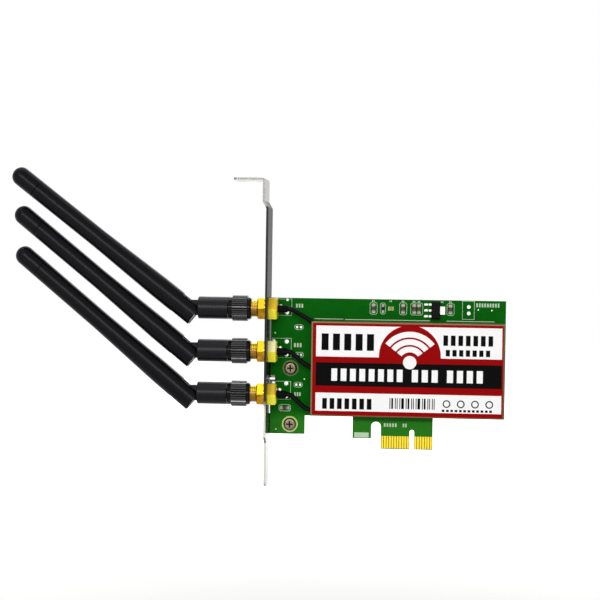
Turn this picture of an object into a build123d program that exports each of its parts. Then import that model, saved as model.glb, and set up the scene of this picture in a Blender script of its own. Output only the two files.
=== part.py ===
from build123d import *

import math
import os

# PCI Express wireless network card with three folding rod antennas, in millimetres.
# X runs along the card away from the bracket, Z runs up from the contact edge, and the parts face -Y.
# The origin lies on the contact edge, at the middle of the key notch and of the board's thickness.

# Shared clearances
RUNNING_GAP = 0.05  # radial room of a turning fit
END_PLAY = 0.3  # room between faces that move past each other

# Edge contacts
CONTACT_PITCH = 1.0
CONTACT_WIDTH = 0.7
CONTACT_LENGTH = 4.8
CONTACT_THICK = 0.04
CONTACTS_LEFT = 11
CONTACTS_RIGHT = 7
CONTACT_MARGIN = 0.2  # bare board between the key notch and the first contact
TAB_MARGIN = 0.3  # bare board beside the last contact

# Circuit board
BOARD_THICK = 1.6
BOARD_LEFT = -56.05  # end beside the bracket
BOARD_RIGHT = 36.0
BOARD_TOP = 58.8
BOARD_BASE = 12.5  # lower edge between the feet
BOARD_CORNER = 0.5
FOOT_WIDTH = 13.75
FOOT_BASE = 5.2
HOOK_WIDTH = 7.3
HOOK_BASE = 4.0
HOOK_SLOT_WIDTH = 3.85
HOOK_SLOT_TOP = 10.6
KEY_WIDTH = 1.9
KEY_TOP = 7.7
EDGE_BEVEL = 0.3
EDGE_NOTCH_DEPTH = 1.75
EDGE_NOTCH_HEIGHT = 1.8
EDGE_NOTCH_Z = 27.3

# Spare jack footprints and header holes in the board
FOOTPRINT_X = -52.3
FOOTPRINT_MID = 39.0
FOOTPRINT_PITCH = 16.5
FOOTPRINT_GRID = 5.08
FOOTPRINT_HOLE = 1.1
FOOTPRINT_CENTRE_HOLE = 0.9
HEADER_X = 21.5
HEADER_Z = 55.05
HEADER_PITCH = 2.54
HEADER_HOLE = 0.9

# Bracket
SHEET = 0.86
BRACKET_GAP = 0.35  # between the board's end and the bracket
BRACKET_WIDTH = 18.42
BRACKET_HEIGHT = 120.02
BRACKET_BACK = 3.2  # edge on the solder side
TAIL_BASE = -14.7
TAIL_WIDTH = 10.19
TAIL_LENGTH = 19.5
TAIL_SHOULDER = 2.5
TAIL_CORNER = 1.2
FLANGE_REACH = 11.4
FLANGE_CORNER = 1.0
BEND_RADIUS = 0.3
JOGGLE = 1.45  # step of the upper end away from the card
JOGGLE_HEIGHT = 2.6
JOGGLE_RADIUS = 1.5
UPPER_LENGTH = 9.0
SCREW_NOTCH_WIDTH = 4.42
SCREW_NOTCH_DEPTH = 5.3
SCREW_NOTCH_FROM_END = 5.1
LUG_WIDTH = 8.0
LUG_PAST_SCREW = 4.0
LUG_RELIEF = 0.6
LUG_CORNER = 1.5

# Bracket screws
SCREW_X = -48.1
SCREW_HEIGHTS = (31.1, 9.0)
SCREW_SHANK = 2.9
SCREW_HEAD = 4.9
SCREW_HEAD_HEIGHT = 1.6
SCREW_HEAD_ROUND = 0.8
SCREW_STICK_OUT = 0.9
SCREW_HOLE_ROOM = 0.15
CROSS_LENGTH = 2.6
CROSS_WIDTH = 0.6
CROSS_DEPTH = 0.9

# Antenna jacks
JACK_MID = 37.8
JACK_PITCH = 16.73
HEX_ACROSS = 8.2
HEX_LENGTH = 3.3
HEX_CHAMFER = 0.4
THREAD = 6.35
THREAD_CHAMFER = 0.3
WASHER_OUTER = 9.0
WASHER_THICK = 0.8
WASHER_TEETH = 12
WASHER_TOOTH = 0.7
NUT_THICK = 2.8
THREAD_SHOWING = 2.4  # bare thread between the nut and the collar
THREAD_ENGAGED = 5.1  # thread inside the collar
JACK_BORE = 4.6
JACK_FLOOR = 1.0  # metal behind the insulator
NOSE_DEPTH = 2.4  # how far the plug's nose enters the jack
PIN = 0.9
PIN_TIP = 0.4
COAX_SEAT = 2.4  # how far the lead enters the hexagon

# Leads
COAX = 1.8
SLEEVE = 2.8
SLEEVE_LENGTH = 4.0
SLEEVE_ROUND = 0.3

# Radio module under the cover
STANDOFF_HEIGHT = 3.0
STANDOFF_OUTER = 5.0
STANDOFF_SPACING = 24.2
STANDOFF_INSET = 2.5
MODULE_LENGTH = 50.95
MODULE_WIDTH = 30.0
MODULE_THICK = 1.0
MODULE_LEFT = -31.0
MODULE_HOLE = 2.6
MODULE_SCREW = 2.0
MODULE_SCREW_HEAD = 3.6
MODULE_SCREW_HEAD_HEIGHT = 1.0
CAN_LENGTH = 29.0
CAN_WIDTH = 26.0
CAN_HEIGHT = 1.8
CAN_WALL = 0.25
CAN_ROUND = 0.5
CAN_LEFT = -18.0
SOCKET_LENGTH = 8.6
SOCKET_WIDTH = 33.0
SOCKET_ROOF = 1.1
SOCKET_GRIP = 4.2
COAX_SOCKET_SIDE = 2.6
COAX_SOCKET_BASE = 0.4
COAX_SOCKET_RING = 2.0
COAX_SOCKET_RISE = 0.8
COAX_PLUG = 3.2
COAX_PLUG_HEIGHT = 1.9
COAX_BARREL = 2.3
COAX_BARREL_LENGTH = 2.8
COAX_BARREL_GRIP = 1.0

# Shield cover and label
COVER_LEFT = -39.5
COVER_RIGHT = 35.5
COVER_BASE = 13.0
COVER_TOP = 50.0
COVER_SHEET = 0.4
COVER_HEADROOM = 0.9  # room above the coax plugs
COVER_BEND = 0.4
COVER_RELIEF = 0.8
COVER_LEAD_GAP = 3.6  # upper wall cut back where the top lead comes in
LABEL_LEFT_MARGIN = 0.55  # bare cover beside the label
LABEL_RIGHT_MARGIN = 0.4
LABEL_BASE_MARGIN = 0.5
LABEL_TOP_MARGIN = 0.65
LABEL_THICK = 0.12
LABEL_CORNER = 0.5

# Small parts on the upper strip
REGULATOR_LEFT = 6.95
REGULATOR_WIDTH = 3.4
REGULATOR_HEIGHT = 6.7
REGULATOR_RISE = 1.6
REGULATOR_Z = 54.75
REGULATOR_CHAMFER = 0.3
LEAD_PITCH = 2.3
LEAD_WIDTH = 0.75
LEAD_THICK = 0.28
LEAD_REACH = 2.8
LEAD_SHOULDER = 0.9
LEAD_FOOT = 1.4
LEAD_EXIT = 0.85
HEAT_TAB_WIDTH = 3.1
CHIP_Z = 55.2
CHIP_LENGTH = 2.0
CHIP_WIDTH = 1.25
CHIP_RISE = 0.9
CHIP_ROUND = 0.12
CAPACITOR_XS = (-15.75, -4.15, 0.2, 2.1, 14.4)
FILTER_X = -50.2  # capacitor that lies beside the lower jack
FILTER_Z = 15.4
RESISTOR_X = -12.05
RESISTOR_LENGTH = 1.6
RESISTOR_WIDTH = 0.8
RESISTOR_RISE = 0.45
LAMP_X = -8.95
LAMP_WIDTH = 2.0
LAMP_LENGTH = 1.6
LAMP_RISE = 0.8
LAMP_LENS = 1.4

# Coupling collar
RIM = 8.8
FRONT_RIM_LENGTH = 1.5
KNURL = 10.0
KNURL_LENGTH = 5.9
KNURL_COUNT = 32
KNURL_DEPTH = 0.3
REAR_RIM_LENGTH = 1.6
COLLAR_CHAMFER = 0.5
COLLAR_THREAD_GAP = 0.06

# Antenna plug
PLUG_FLANGE = 6.0
PLUG_FLANGE_THICK = 1.0
PLUG_SHANK = 4.2
PLUG_SHANK_DEPTH = 5.0  # length held in the barrel
PLUG_BORE = 3.2
CONTACT_OUTER = 1.6
CONTACT_RECESS = 0.3
CONTACT_SOCKET_DEPTH = 3.0

# Antenna base
BARREL = 8.7
BARREL_LENGTH = 11.7
BARREL_ROUND = 0.4
TONGUE_HEIGHT = 6.0
TONGUE_THICK = 3.0
PIVOT_OFFSET = 5.65  # from the barrel's shoulder to the hinge
HINGE_PIN = 2.2
HINGE_PIN_LENGTH = 6.2

# Antenna whip
WHIP_TILTS = (37.65, 38.95, 39.67)  # degrees up from straight, top to bottom
WHIP_LENGTH = 86.5  # from the hinge to the tip
WHIP_ROOT = 8.95
WHIP_THIN = 7.55
TAPER_START = 12.7
TAPER_END = 43.0
FORK_END = 5.3  # cheeks past the hinge
FORK_RELIEF = 5.3  # swept radius of the cheeks' upper corner
FORK_SLOT_DEPTH = 3.5
FORK_STEP = 0.6  # drop of the cheeks' upper side below the whip
WHIP_BORE = 5.0
WHIP_BORE_START = 14.0
TIP_LENGTH = 11.5
TIP_SPIGOT = 4.0
SEAM_CHAMFER = 0.15
RADIATOR_SLEEVE = 4.0
RADIATOR_SLEEVE_LENGTH = 24.0
RADIATOR_ROD = 1.2
RADIATOR_ROD_LENGTH = 30.0

# Places that follow from the sizes above
FACE = -BOARD_THICK / 2  # component side of the board
FIRST_CONTACT = KEY_WIDTH / 2 + CONTACT_MARGIN + CONTACT_WIDTH / 2
TAB_LEFT = -(FIRST_CONTACT + (CONTACTS_LEFT - 1) * CONTACT_PITCH + CONTACT_WIDTH / 2 + TAB_MARGIN)
TAB_RIGHT = FIRST_CONTACT + (CONTACTS_RIGHT - 1) * CONTACT_PITCH + CONTACT_WIDTH / 2 + TAB_MARGIN
FOOT_RIGHT = BOARD_LEFT + FOOT_WIDTH
HOOK_RIGHT = TAB_LEFT - HOOK_SLOT_WIDTH
HOOK_LEFT = HOOK_RIGHT - HOOK_WIDTH
BRACKET_INNER = BOARD_LEFT - BRACKET_GAP
BRACKET_OUTER = BRACKET_INNER - SHEET
SHEET_X = BRACKET_INNER - SHEET / 2
UPPER_X = SHEET_X - JOGGLE
FLANGE_END = UPPER_X - SHEET / 2 - FLANGE_REACH
BRACKET_TOP = TAIL_BASE + BRACKET_HEIGHT
FLANGE_Z = BRACKET_TOP - SHEET / 2
LUG_Y = BOARD_THICK / 2 + SHEET / 2
LUG_END = SCREW_X + LUG_PAST_SCREW
JACK_Y = BRACKET_BACK - BRACKET_WIDTH / 2
JACK_HEIGHTS = (JACK_MID + JACK_PITCH, JACK_MID, JACK_MID - JACK_PITCH)
FOOTPRINT_HEIGHTS = (FOOTPRINT_MID + FOOTPRINT_PITCH, FOOTPRINT_MID, FOOTPRINT_MID - FOOTPRINT_PITCH)

# Stations along an antenna, counted from the key notch outwards, so that a station is minus X
HEX_BACK = -BRACKET_INNER - HEX_LENGTH
COAX_START = HEX_BACK + COAX_SEAT
WASHER_BACK = -BRACKET_OUTER
NUT_BACK = WASHER_BACK + WASHER_THICK
NUT_FRONT = NUT_BACK + NUT_THICK
COLLAR_START = NUT_FRONT + THREAD_SHOWING
KNURL_START = COLLAR_START + FRONT_RIM_LENGTH
KNURL_END = KNURL_START + KNURL_LENGTH
COLLAR_END = KNURL_END + REAR_RIM_LENGTH
JACK_MOUTH = COLLAR_START + THREAD_ENGAGED
INSULATOR_FACE = JACK_MOUTH - NOSE_DEPTH
INSULATOR_BACK = -BRACKET_INNER + JACK_FLOOR
NOSE_FACE = INSULATOR_FACE + END_PLAY
FLANGE_FACE = JACK_MOUTH + END_PLAY
FLANGE_BACK = FLANGE_FACE + PLUG_FLANGE_THICK
LIP_FACE = FLANGE_BACK + END_PLAY
BARREL_START = COLLAR_END + END_PLAY
BARREL_END = BARREL_START + BARREL_LENGTH
SHANK_END = BARREL_START + PLUG_SHANK_DEPTH
CONTACT_FACE = NOSE_FACE + CONTACT_RECESS
PIN_END = CONTACT_FACE + CONTACT_SOCKET_DEPTH - END_PLAY
PIVOT = BARREL_END + PIVOT_OFFSET
FORK_SLOT = TONGUE_THICK + 2 * END_PLAY
WHIP_BODY_END = WHIP_LENGTH - TIP_LENGTH

# Levels above the component side, as distances from the board's face
MODULE_UNDER = STANDOFF_HEIGHT
MODULE_UPPER = MODULE_UNDER + MODULE_THICK
COAX_PLUG_UNDER = MODULE_UPPER + COAX_SOCKET_BASE
COAX_PLUG_UPPER = COAX_PLUG_UNDER + COAX_PLUG_HEIGHT
COVER_INSIDE = COAX_PLUG_UPPER + COVER_HEADROOM
COVER_OUTSIDE = COVER_INSIDE + COVER_SHEET
LEAD_Y = FACE - (COAX_PLUG_UNDER + COAX_PLUG_UPPER) / 2
MODULE_MID = (COVER_BASE + COVER_TOP) / 2
MODULE_RIGHT = MODULE_LEFT + MODULE_LENGTH
STANDOFF_X = MODULE_LEFT + STANDOFF_INSET

# Routes of the leads from jack to coax plug, as (X, Z) points chosen by hand
LEAD_ROUTES = (
    ((-47.6, JACK_HEIGHTS[0]), (-38.8, 49.5), (-27.5, 37.9)),
    ((-47.6, JACK_HEIGHTS[1]), (-41.9, 32.6), (-35.6, 30.3), (-27.5, 31.35)),
    ((-47.6, JACK_HEIGHTS[2]), (-41.0, 15.0), (-35.6, 15.3), (-27.5, 25.2)),
)
ARC_SHARE = 0.45  # part of the shorter run that a bend may take up
ARC_ROOM = 0.9  # part of the free run behind the sleeve that the first bend may take up


def face_plane(level):
    """Plane parallel to the board, a distance above its component side, facing outwards."""
    return Plane.XZ.offset(level - FACE)


def axis_plane(station, height):
    """Plane across an antenna's axis, facing outwards from the bracket."""
    return Plane(origin=(-station, JACK_Y, height), x_dir=(0, -1, 0), z_dir=(-1, 0, 0))


def profile_plane(height):
    """Plane through an antenna's axis, with the station as x and the radius as y."""
    return Plane(origin=(0, JACK_Y, height), x_dir=(-1, 0, 0), z_dir=(0, 1, 0))


def spin_axis(height):
    """Axis of an antenna jack."""
    return Axis((0, JACK_Y, height), (-1, 0, 0))


def save(builder, name):
    """Label a finished piece and write it."""
    builder.part.label = name
    export_step(builder.part, f"parts/{name}.step")


def bend_radii(points, first_room):
    """Largest bends that the runs between the points, and the sleeve on the first run, leave room for."""
    radii = []
    for before, corner, after in zip(points, points[1:], points[2:]):
        run_in = Vector(*corner) - Vector(*before)
        run_out = Vector(*after) - Vector(*corner)
        turn = math.radians(run_in.get_angle(run_out))
        room = ARC_SHARE * min(run_in.length, run_out.length)
        if not radii:
            room = min(room, ARC_ROOM * first_room)
        radii.append(room / math.tan(turn / 2))
    return radii


os.makedirs("parts", exist_ok=True)

# Circuit board with its foot, hook, contact tab and holes
with BuildPart() as circuit_board:
    with BuildSketch(Plane.XZ):
        with BuildLine():
            Polyline(
                (BOARD_LEFT, FOOT_BASE),
                (BOARD_LEFT, BOARD_TOP),
                (BOARD_RIGHT, BOARD_TOP),
                (BOARD_RIGHT, BOARD_BASE),
                (TAB_RIGHT, BOARD_BASE),
                (TAB_RIGHT, 0),
                (TAB_LEFT, 0),
                (TAB_LEFT, HOOK_BASE),
                (HOOK_LEFT, HOOK_BASE),
                (HOOK_LEFT, BOARD_BASE),
                (FOOT_RIGHT, BOARD_BASE),
                (FOOT_RIGHT, FOOT_BASE),
                close=True,
            )
        board_face = make_face()
        fillet(board_face.vertices().group_by(Axis.Z)[1:], BOARD_CORNER)
        with Locations(((HOOK_RIGHT + TAB_LEFT) / 2, HOOK_SLOT_TOP - HOOK_SLOT_WIDTH / 2)):
            Circle(HOOK_SLOT_WIDTH / 2, mode=Mode.SUBTRACT)
            Rectangle(HOOK_SLOT_WIDTH, HOOK_SLOT_TOP, align=(Align.CENTER, Align.MAX), mode=Mode.SUBTRACT)
        with Locations((0, KEY_TOP - KEY_WIDTH / 2)):
            Circle(KEY_WIDTH / 2, mode=Mode.SUBTRACT)
            Rectangle(KEY_WIDTH, KEY_TOP, align=(Align.CENTER, Align.MAX), mode=Mode.SUBTRACT)
        with Locations((BOARD_LEFT, EDGE_NOTCH_Z)):
            Rectangle(2 * EDGE_NOTCH_DEPTH, EDGE_NOTCH_HEIGHT, mode=Mode.SUBTRACT)
        with Locations(*[(FOOTPRINT_X, height) for height in FOOTPRINT_HEIGHTS]):
            Circle(FOOTPRINT_CENTRE_HOLE / 2, mode=Mode.SUBTRACT)
            with GridLocations(FOOTPRINT_GRID, FOOTPRINT_GRID, 2, 2):
                Circle(FOOTPRINT_HOLE / 2, mode=Mode.SUBTRACT)
        with Locations(*[(SCREW_X, height) for height in SCREW_HEIGHTS]):
            Circle(SCREW_SHANK / 2 + SCREW_HOLE_ROOM, mode=Mode.SUBTRACT)
        with Locations((HEADER_X, HEADER_Z)):
            with GridLocations(HEADER_PITCH, HEADER_PITCH, 1, 2):
                Circle(HEADER_HOLE / 2, mode=Mode.SUBTRACT)
    extrude(amount=BOARD_THICK / 2, both=True)
    # Bevel along the contact edge
    with BuildSketch(Plane.YZ):
        for side in (-1, 1):
            with BuildLine():
                Polyline(
                    (side * BOARD_THICK / 2, 0),
                    (side * (BOARD_THICK / 2 - EDGE_BEVEL), 0),
                    (side * BOARD_THICK / 2, EDGE_BEVEL),
                    close=True,
                )
            make_face()
    extrude(amount=2 * (TAB_RIGHT - TAB_LEFT), both=True, mode=Mode.SUBTRACT)
save(circuit_board, "circuit_board")

# Edge contacts on both sides of the tab
with BuildPart() as edge_contacts:
    left_contacts = [-FIRST_CONTACT - i * CONTACT_PITCH for i in range(CONTACTS_LEFT)]
    right_contacts = [FIRST_CONTACT + i * CONTACT_PITCH for i in range(CONTACTS_RIGHT)]
    for side_plane in (Plane.XZ.offset(-FACE), Plane.XZ.offset(FACE - CONTACT_THICK)):
        with BuildSketch(side_plane):
            with Locations(*[(x, EDGE_BEVEL) for x in left_contacts + right_contacts]):
                Rectangle(CONTACT_WIDTH, CONTACT_LENGTH, align=(Align.CENTER, Align.MIN))
        extrude(amount=CONTACT_THICK)
save(edge_contacts, "edge_contacts")

# Bracket: one folded sheet with flange, joggled upper end, tail and two lugs behind the board
with BuildPart() as bracket:
    with BuildSketch(Plane.XZ.offset(-BRACKET_BACK)):
        with BuildLine():
            FilletPolyline(
                (FLANGE_END, FLANGE_Z),
                (UPPER_X, FLANGE_Z),
                (UPPER_X, BRACKET_TOP - UPPER_LENGTH),
                (SHEET_X, BRACKET_TOP - UPPER_LENGTH - JOGGLE_HEIGHT),
                (SHEET_X, TAIL_BASE),
                radius=[BEND_RADIUS + SHEET / 2, JOGGLE_RADIUS, JOGGLE_RADIUS],
            )
        trace(line_width=SHEET)
    extrude(amount=BRACKET_WIDTH)
    # Narrow tail
    with BuildSketch(Plane.YZ.offset(BRACKET_OUTER - SHEET)) as tail_cut:
        for side in (-1, 1):
            with BuildLine():
                Polyline(
                    (JACK_Y + side * TAIL_WIDTH / 2, TAIL_BASE - SHEET),
                    (JACK_Y + side * TAIL_WIDTH / 2, TAIL_BASE + TAIL_LENGTH - TAIL_SHOULDER),
                    (JACK_Y + side * BRACKET_WIDTH / 2, TAIL_BASE + TAIL_LENGTH),
                    (JACK_Y + side * BRACKET_WIDTH, TAIL_BASE + TAIL_LENGTH),
                    (JACK_Y + side * BRACKET_WIDTH, TAIL_BASE - SHEET),
                    close=True,
                )
            make_face()
    extrude(amount=3 * SHEET, mode=Mode.SUBTRACT)
    # Holes for the antenna jacks
    with BuildSketch(Plane.YZ.offset(BRACKET_OUTER - SHEET)):
        with Locations(*[(JACK_Y, height) for height in JACK_HEIGHTS]):
            Circle(THREAD / 2 + RUNNING_GAP)
    extrude(amount=3 * SHEET, mode=Mode.SUBTRACT)
    # Screw notch in the flange, open towards the solder side
    with BuildSketch(Plane.XY.offset(BRACKET_TOP - 2 * SHEET)):
        notch_floor = BRACKET_BACK - SCREW_NOTCH_DEPTH + SCREW_NOTCH_WIDTH / 2
        with Locations((FLANGE_END + SCREW_NOTCH_FROM_END, notch_floor)):
            Circle(SCREW_NOTCH_WIDTH / 2)
            Rectangle(SCREW_NOTCH_WIDTH, BRACKET_WIDTH, align=(Align.CENTER, Align.MIN))
    extrude(amount=3 * SHEET, mode=Mode.SUBTRACT)
    # Lugs folded behind the board, each with relief cuts beside its bend
    bend_start = LUG_Y + SHEET / 2 - BEND_RADIUS - SHEET
    with BuildSketch(Plane.YZ.offset(BRACKET_OUTER - SHEET)):
        with Locations(*[(bend_start, height) for height in SCREW_HEIGHTS]):
            Rectangle(BRACKET_WIDTH, LUG_WIDTH + 2 * LUG_RELIEF, align=(Align.MIN, Align.CENTER))
    extrude(amount=3 * SHEET, mode=Mode.SUBTRACT)
    for height in SCREW_HEIGHTS:
        with BuildSketch(Plane.XY.offset(height - LUG_WIDTH / 2)):
            with BuildLine():
                FilletPolyline(
                    (SHEET_X, bend_start - SHEET),
                    (SHEET_X, LUG_Y),
                    (LUG_END, LUG_Y),
                    radius=BEND_RADIUS + SHEET / 2,
                )
            trace(line_width=SHEET)
        extrude(amount=LUG_WIDTH)
    with BuildSketch(Plane.XZ.offset(-LUG_Y - SHEET)):
        with Locations(*[(SCREW_X, height) for height in SCREW_HEIGHTS]):
            Circle(SCREW_SHANK / 2)
    extrude(amount=2 * SHEET, mode=Mode.SUBTRACT)
    fillet(bracket.edges().filter_by(Axis.Y).group_by(Axis.X)[-1], LUG_CORNER)
    fillet(bracket.edges().filter_by(Axis.Z).group_by(Axis.X)[0], FLANGE_CORNER)
    chamfer(bracket.edges().filter_by(Axis.X).group_by(Axis.Z)[0], TAIL_CORNER)
save(bracket, "bracket")

# Bracket screws with cross recesses
with BuildPart() as bracket_screws:
    with BuildSketch(face_plane(0)):
        with Locations(*[(SCREW_X, height) for height in SCREW_HEIGHTS]):
            Circle(SCREW_HEAD / 2)
    extrude(amount=SCREW_HEAD_HEIGHT)
    fillet(bracket_screws.edges().filter_by(GeomType.CIRCLE).group_by(Axis.Y)[0], SCREW_HEAD_ROUND)
    with BuildSketch(face_plane(0)):
        with Locations(*[(SCREW_X, height) for height in SCREW_HEIGHTS]):
            Circle(SCREW_SHANK / 2)
    extrude(amount=-(BOARD_THICK + SHEET + SCREW_STICK_OUT))
    with BuildSketch(face_plane(SCREW_HEAD_HEIGHT)):
        with Locations(*[(SCREW_X, height) for height in SCREW_HEIGHTS]):
            Rectangle(CROSS_LENGTH, CROSS_WIDTH)
            Rectangle(CROSS_WIDTH, CROSS_LENGTH)
    extrude(amount=-CROSS_DEPTH, mode=Mode.SUBTRACT)
save(bracket_screws, "bracket_screws")

# Lock washers with teeth around the thread
with BuildPart() as lock_washers:
    for height in JACK_HEIGHTS:
        with BuildSketch(axis_plane(WASHER_BACK, height)):
            Circle(WASHER_OUTER / 2)
            Circle(THREAD / 2 + RUNNING_GAP, mode=Mode.SUBTRACT)
            with PolarLocations(THREAD / 2 + WASHER_TOOTH / 2, WASHER_TEETH):
                Rectangle(2 * WASHER_TOOTH, WASHER_TOOTH, mode=Mode.SUBTRACT)
        extrude(amount=WASHER_THICK)
save(lock_washers, "lock_washers")

# Jack nuts
with BuildPart() as jack_nuts:
    for height in JACK_HEIGHTS:
        with BuildSketch(axis_plane(NUT_BACK, height)):
            RegularPolygon(HEX_ACROSS / 2, 6, major_radius=False)
            Circle(THREAD / 2 + RUNNING_GAP, mode=Mode.SUBTRACT)
        extrude(amount=NUT_THICK)
    chamfer(jack_nuts.edges().filter_by(GeomType.LINE).group_by(Axis.X)[0], HEX_CHAMFER)
save(jack_nuts, "jack_nuts")

# Jack insulators
with BuildPart() as jack_insulators:
    for height in JACK_HEIGHTS:
        with BuildSketch(axis_plane(INSULATOR_BACK, height)):
            Circle(JACK_BORE / 2)
            Circle(PIN / 2, mode=Mode.SUBTRACT)
        extrude(amount=INSULATOR_FACE - INSULATOR_BACK)
save(jack_insulators, "jack_insulators")

# Jack centre pins
with BuildPart() as jack_pins:
    for height in JACK_HEIGHTS:
        with BuildSketch(axis_plane(INSULATOR_BACK, height)):
            Circle(PIN / 2)
        extrude(amount=PIN_END - INSULATOR_BACK)
    chamfer(jack_pins.edges().filter_by(GeomType.CIRCLE).group_by(Axis.X)[0], PIN_TIP / 2)
save(jack_pins, "jack_pins")


def build_jack_and_lead(number, height, route):
    """Jack in the bracket, the sleeve behind it, the lead and the snap-on plug at the lead's end."""
    with BuildPart() as antenna_jack:
        with BuildSketch(axis_plane(HEX_BACK, height)):
            RegularPolygon(HEX_ACROSS / 2, 6, major_radius=False)
        extrude(amount=HEX_LENGTH)
        chamfer(antenna_jack.edges().filter_by(GeomType.LINE).group_by(Axis.X)[-1], HEX_CHAMFER)
        with BuildSketch(profile_plane(height)):
            with BuildLine():
                Polyline(
                    (HEX_BACK + HEX_LENGTH, 0),
                    (HEX_BACK + HEX_LENGTH, THREAD / 2),
                    (JACK_MOUTH - THREAD_CHAMFER, THREAD / 2),
                    (JACK_MOUTH, THREAD / 2 - THREAD_CHAMFER),
                    (JACK_MOUTH, 0),
                    close=True,
                )
            make_face()
        revolve(axis=spin_axis(height))
        with BuildSketch(axis_plane(INSULATOR_BACK, height)):
            Circle(JACK_BORE / 2)
        extrude(amount=JACK_MOUTH - INSULATOR_BACK, mode=Mode.SUBTRACT)
        with BuildSketch(axis_plane(HEX_BACK, height)):
            Circle(COAX / 2)
        extrude(amount=COAX_SEAT, mode=Mode.SUBTRACT)
    save(antenna_jack, f"antenna_jack_{number}")

    with BuildPart() as heat_shrink:
        with BuildSketch(axis_plane(HEX_BACK, height)):
            Circle(SLEEVE / 2)
            Circle(COAX / 2, mode=Mode.SUBTRACT)
        extrude(amount=-SLEEVE_LENGTH)
        outer_rim = heat_shrink.edges().filter_by(GeomType.CIRCLE).group_by(Axis.X)[-1].sort_by(SortBy.RADIUS)[-1]
        fillet(outer_rim, SLEEVE_ROUND)
    save(heat_shrink, f"heat_shrink_{number}")

    lead_end = Vector(route[-1][0], LEAD_Y, route[-1][1])
    lead_before = Vector(route[-2][0], LEAD_Y, route[-2][1])
    plug_direction = (lead_before - lead_end).normalized()
    barrel_end = lead_end + plug_direction * COAX_BARREL_LENGTH
    coax_end = barrel_end - plug_direction * COAX_BARREL_GRIP
    points = [(-COAX_START, JACK_Y, height), (route[0][0], JACK_Y, route[0][1])]
    points += [(x, LEAD_Y, z) for x, z in route[1:-1]]
    points.append((coax_end.X, coax_end.Y, coax_end.Z))
    sleeve_end = -(HEX_BACK - SLEEVE_LENGTH)
    radii = bend_radii(points, route[0][0] - sleeve_end)
    print(f"pigtail_{number} bend radii", [round(radius, 2) for radius in radii])
    with BuildPart() as pigtail:
        with BuildLine() as lead_path:
            FilletPolyline(*points, radius=radii)
        with BuildSketch(axis_plane(COAX_START, height)):
            Circle(COAX / 2)
        sweep(path=lead_path.line)
    lead_length = sum(edge.length for edge in lead_path.edges())
    drawn_volume = math.pi * COAX**2 / 4 * lead_length
    print(f"pigtail_{number} volume", round(pigtail.part.volume, 2), "of", round(drawn_volume, 2))
    save(pigtail, f"pigtail_{number}")

    with BuildPart() as coax_plug:
        with BuildSketch(face_plane(COAX_PLUG_UNDER)):
            with Locations((lead_end.X, lead_end.Z)):
                Circle(COAX_PLUG / 2)
        extrude(amount=COAX_PLUG_HEIGHT)
        with BuildSketch(Plane(origin=lead_end, x_dir=(0, 1, 0), z_dir=plug_direction)):
            Rectangle(COAX_PLUG_HEIGHT, COAX_BARREL)
        extrude(amount=COAX_BARREL_LENGTH)
        with BuildSketch(Plane(origin=barrel_end, x_dir=(0, 1, 0), z_dir=plug_direction)):
            Circle(COAX / 2)
        extrude(amount=-COAX_BARREL_GRIP, mode=Mode.SUBTRACT)
        with BuildSketch(face_plane(COAX_PLUG_UNDER)):
            with Locations((lead_end.X, lead_end.Z)):
                Circle(COAX_SOCKET_RING / 2)
        extrude(amount=COAX_SOCKET_RISE, mode=Mode.SUBTRACT)
    save(coax_plug, f"coax_plug_{number}")


for index, jack_height in enumerate(JACK_HEIGHTS):
    build_jack_and_lead(index + 1, jack_height, LEAD_ROUTES[index])

# Shield cover: a folded sheet, open on the side where the leads come in
with BuildPart() as shield_cover:
    cover_length = COVER_RIGHT - COVER_LEFT
    cover_width = COVER_TOP - COVER_BASE
    with BuildSketch(face_plane(0)):
        with Locations((COVER_LEFT, MODULE_MID)):
            Rectangle(cover_length, cover_width, align=(Align.MIN, Align.CENTER))
    extrude(amount=COVER_OUTSIDE)
    top_edges = shield_cover.faces().sort_by(Axis.Y)[0].edges()
    fillet(top_edges.sort_by(Axis.X)[1:], COVER_BEND)
    with BuildSketch(face_plane(0)):
        with Locations((COVER_LEFT, MODULE_MID)):
            inner_length = cover_length - COVER_SHEET
            inner_width = cover_width - 2 * COVER_SHEET
            Rectangle(inner_length, inner_width, align=(Align.MIN, Align.CENTER))
    extrude(amount=COVER_INSIDE, mode=Mode.SUBTRACT)
    with BuildSketch(face_plane(0)):
        with Locations((COVER_RIGHT, COVER_BASE), (COVER_RIGHT, COVER_TOP)):
            Rectangle(2 * COVER_RELIEF, 2 * COVER_RELIEF)
    extrude(amount=COVER_INSIDE - COVER_BEND, mode=Mode.SUBTRACT)
    with BuildSketch(face_plane(0)):
        with Locations((COVER_LEFT, COVER_TOP)):
            Rectangle(COVER_LEAD_GAP, 2 * COVER_RELIEF, align=(Align.MIN, Align.CENTER))
    extrude(amount=COVER_INSIDE - COVER_BEND, mode=Mode.SUBTRACT)
save(shield_cover, "shield_cover")

# Label on the cover
with BuildPart() as cover_label:
    with BuildSketch(face_plane(COVER_OUTSIDE)):
        with Locations((COVER_LEFT + LABEL_LEFT_MARGIN, COVER_BASE + LABEL_BASE_MARGIN)):
            RectangleRounded(
                cover_length - LABEL_LEFT_MARGIN - LABEL_RIGHT_MARGIN,
                cover_width - LABEL_BASE_MARGIN - LABEL_TOP_MARGIN,
                LABEL_CORNER,
                align=(Align.MIN, Align.MIN),
            )
    extrude(amount=LABEL_THICK)
save(cover_label, "cover_label")

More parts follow.
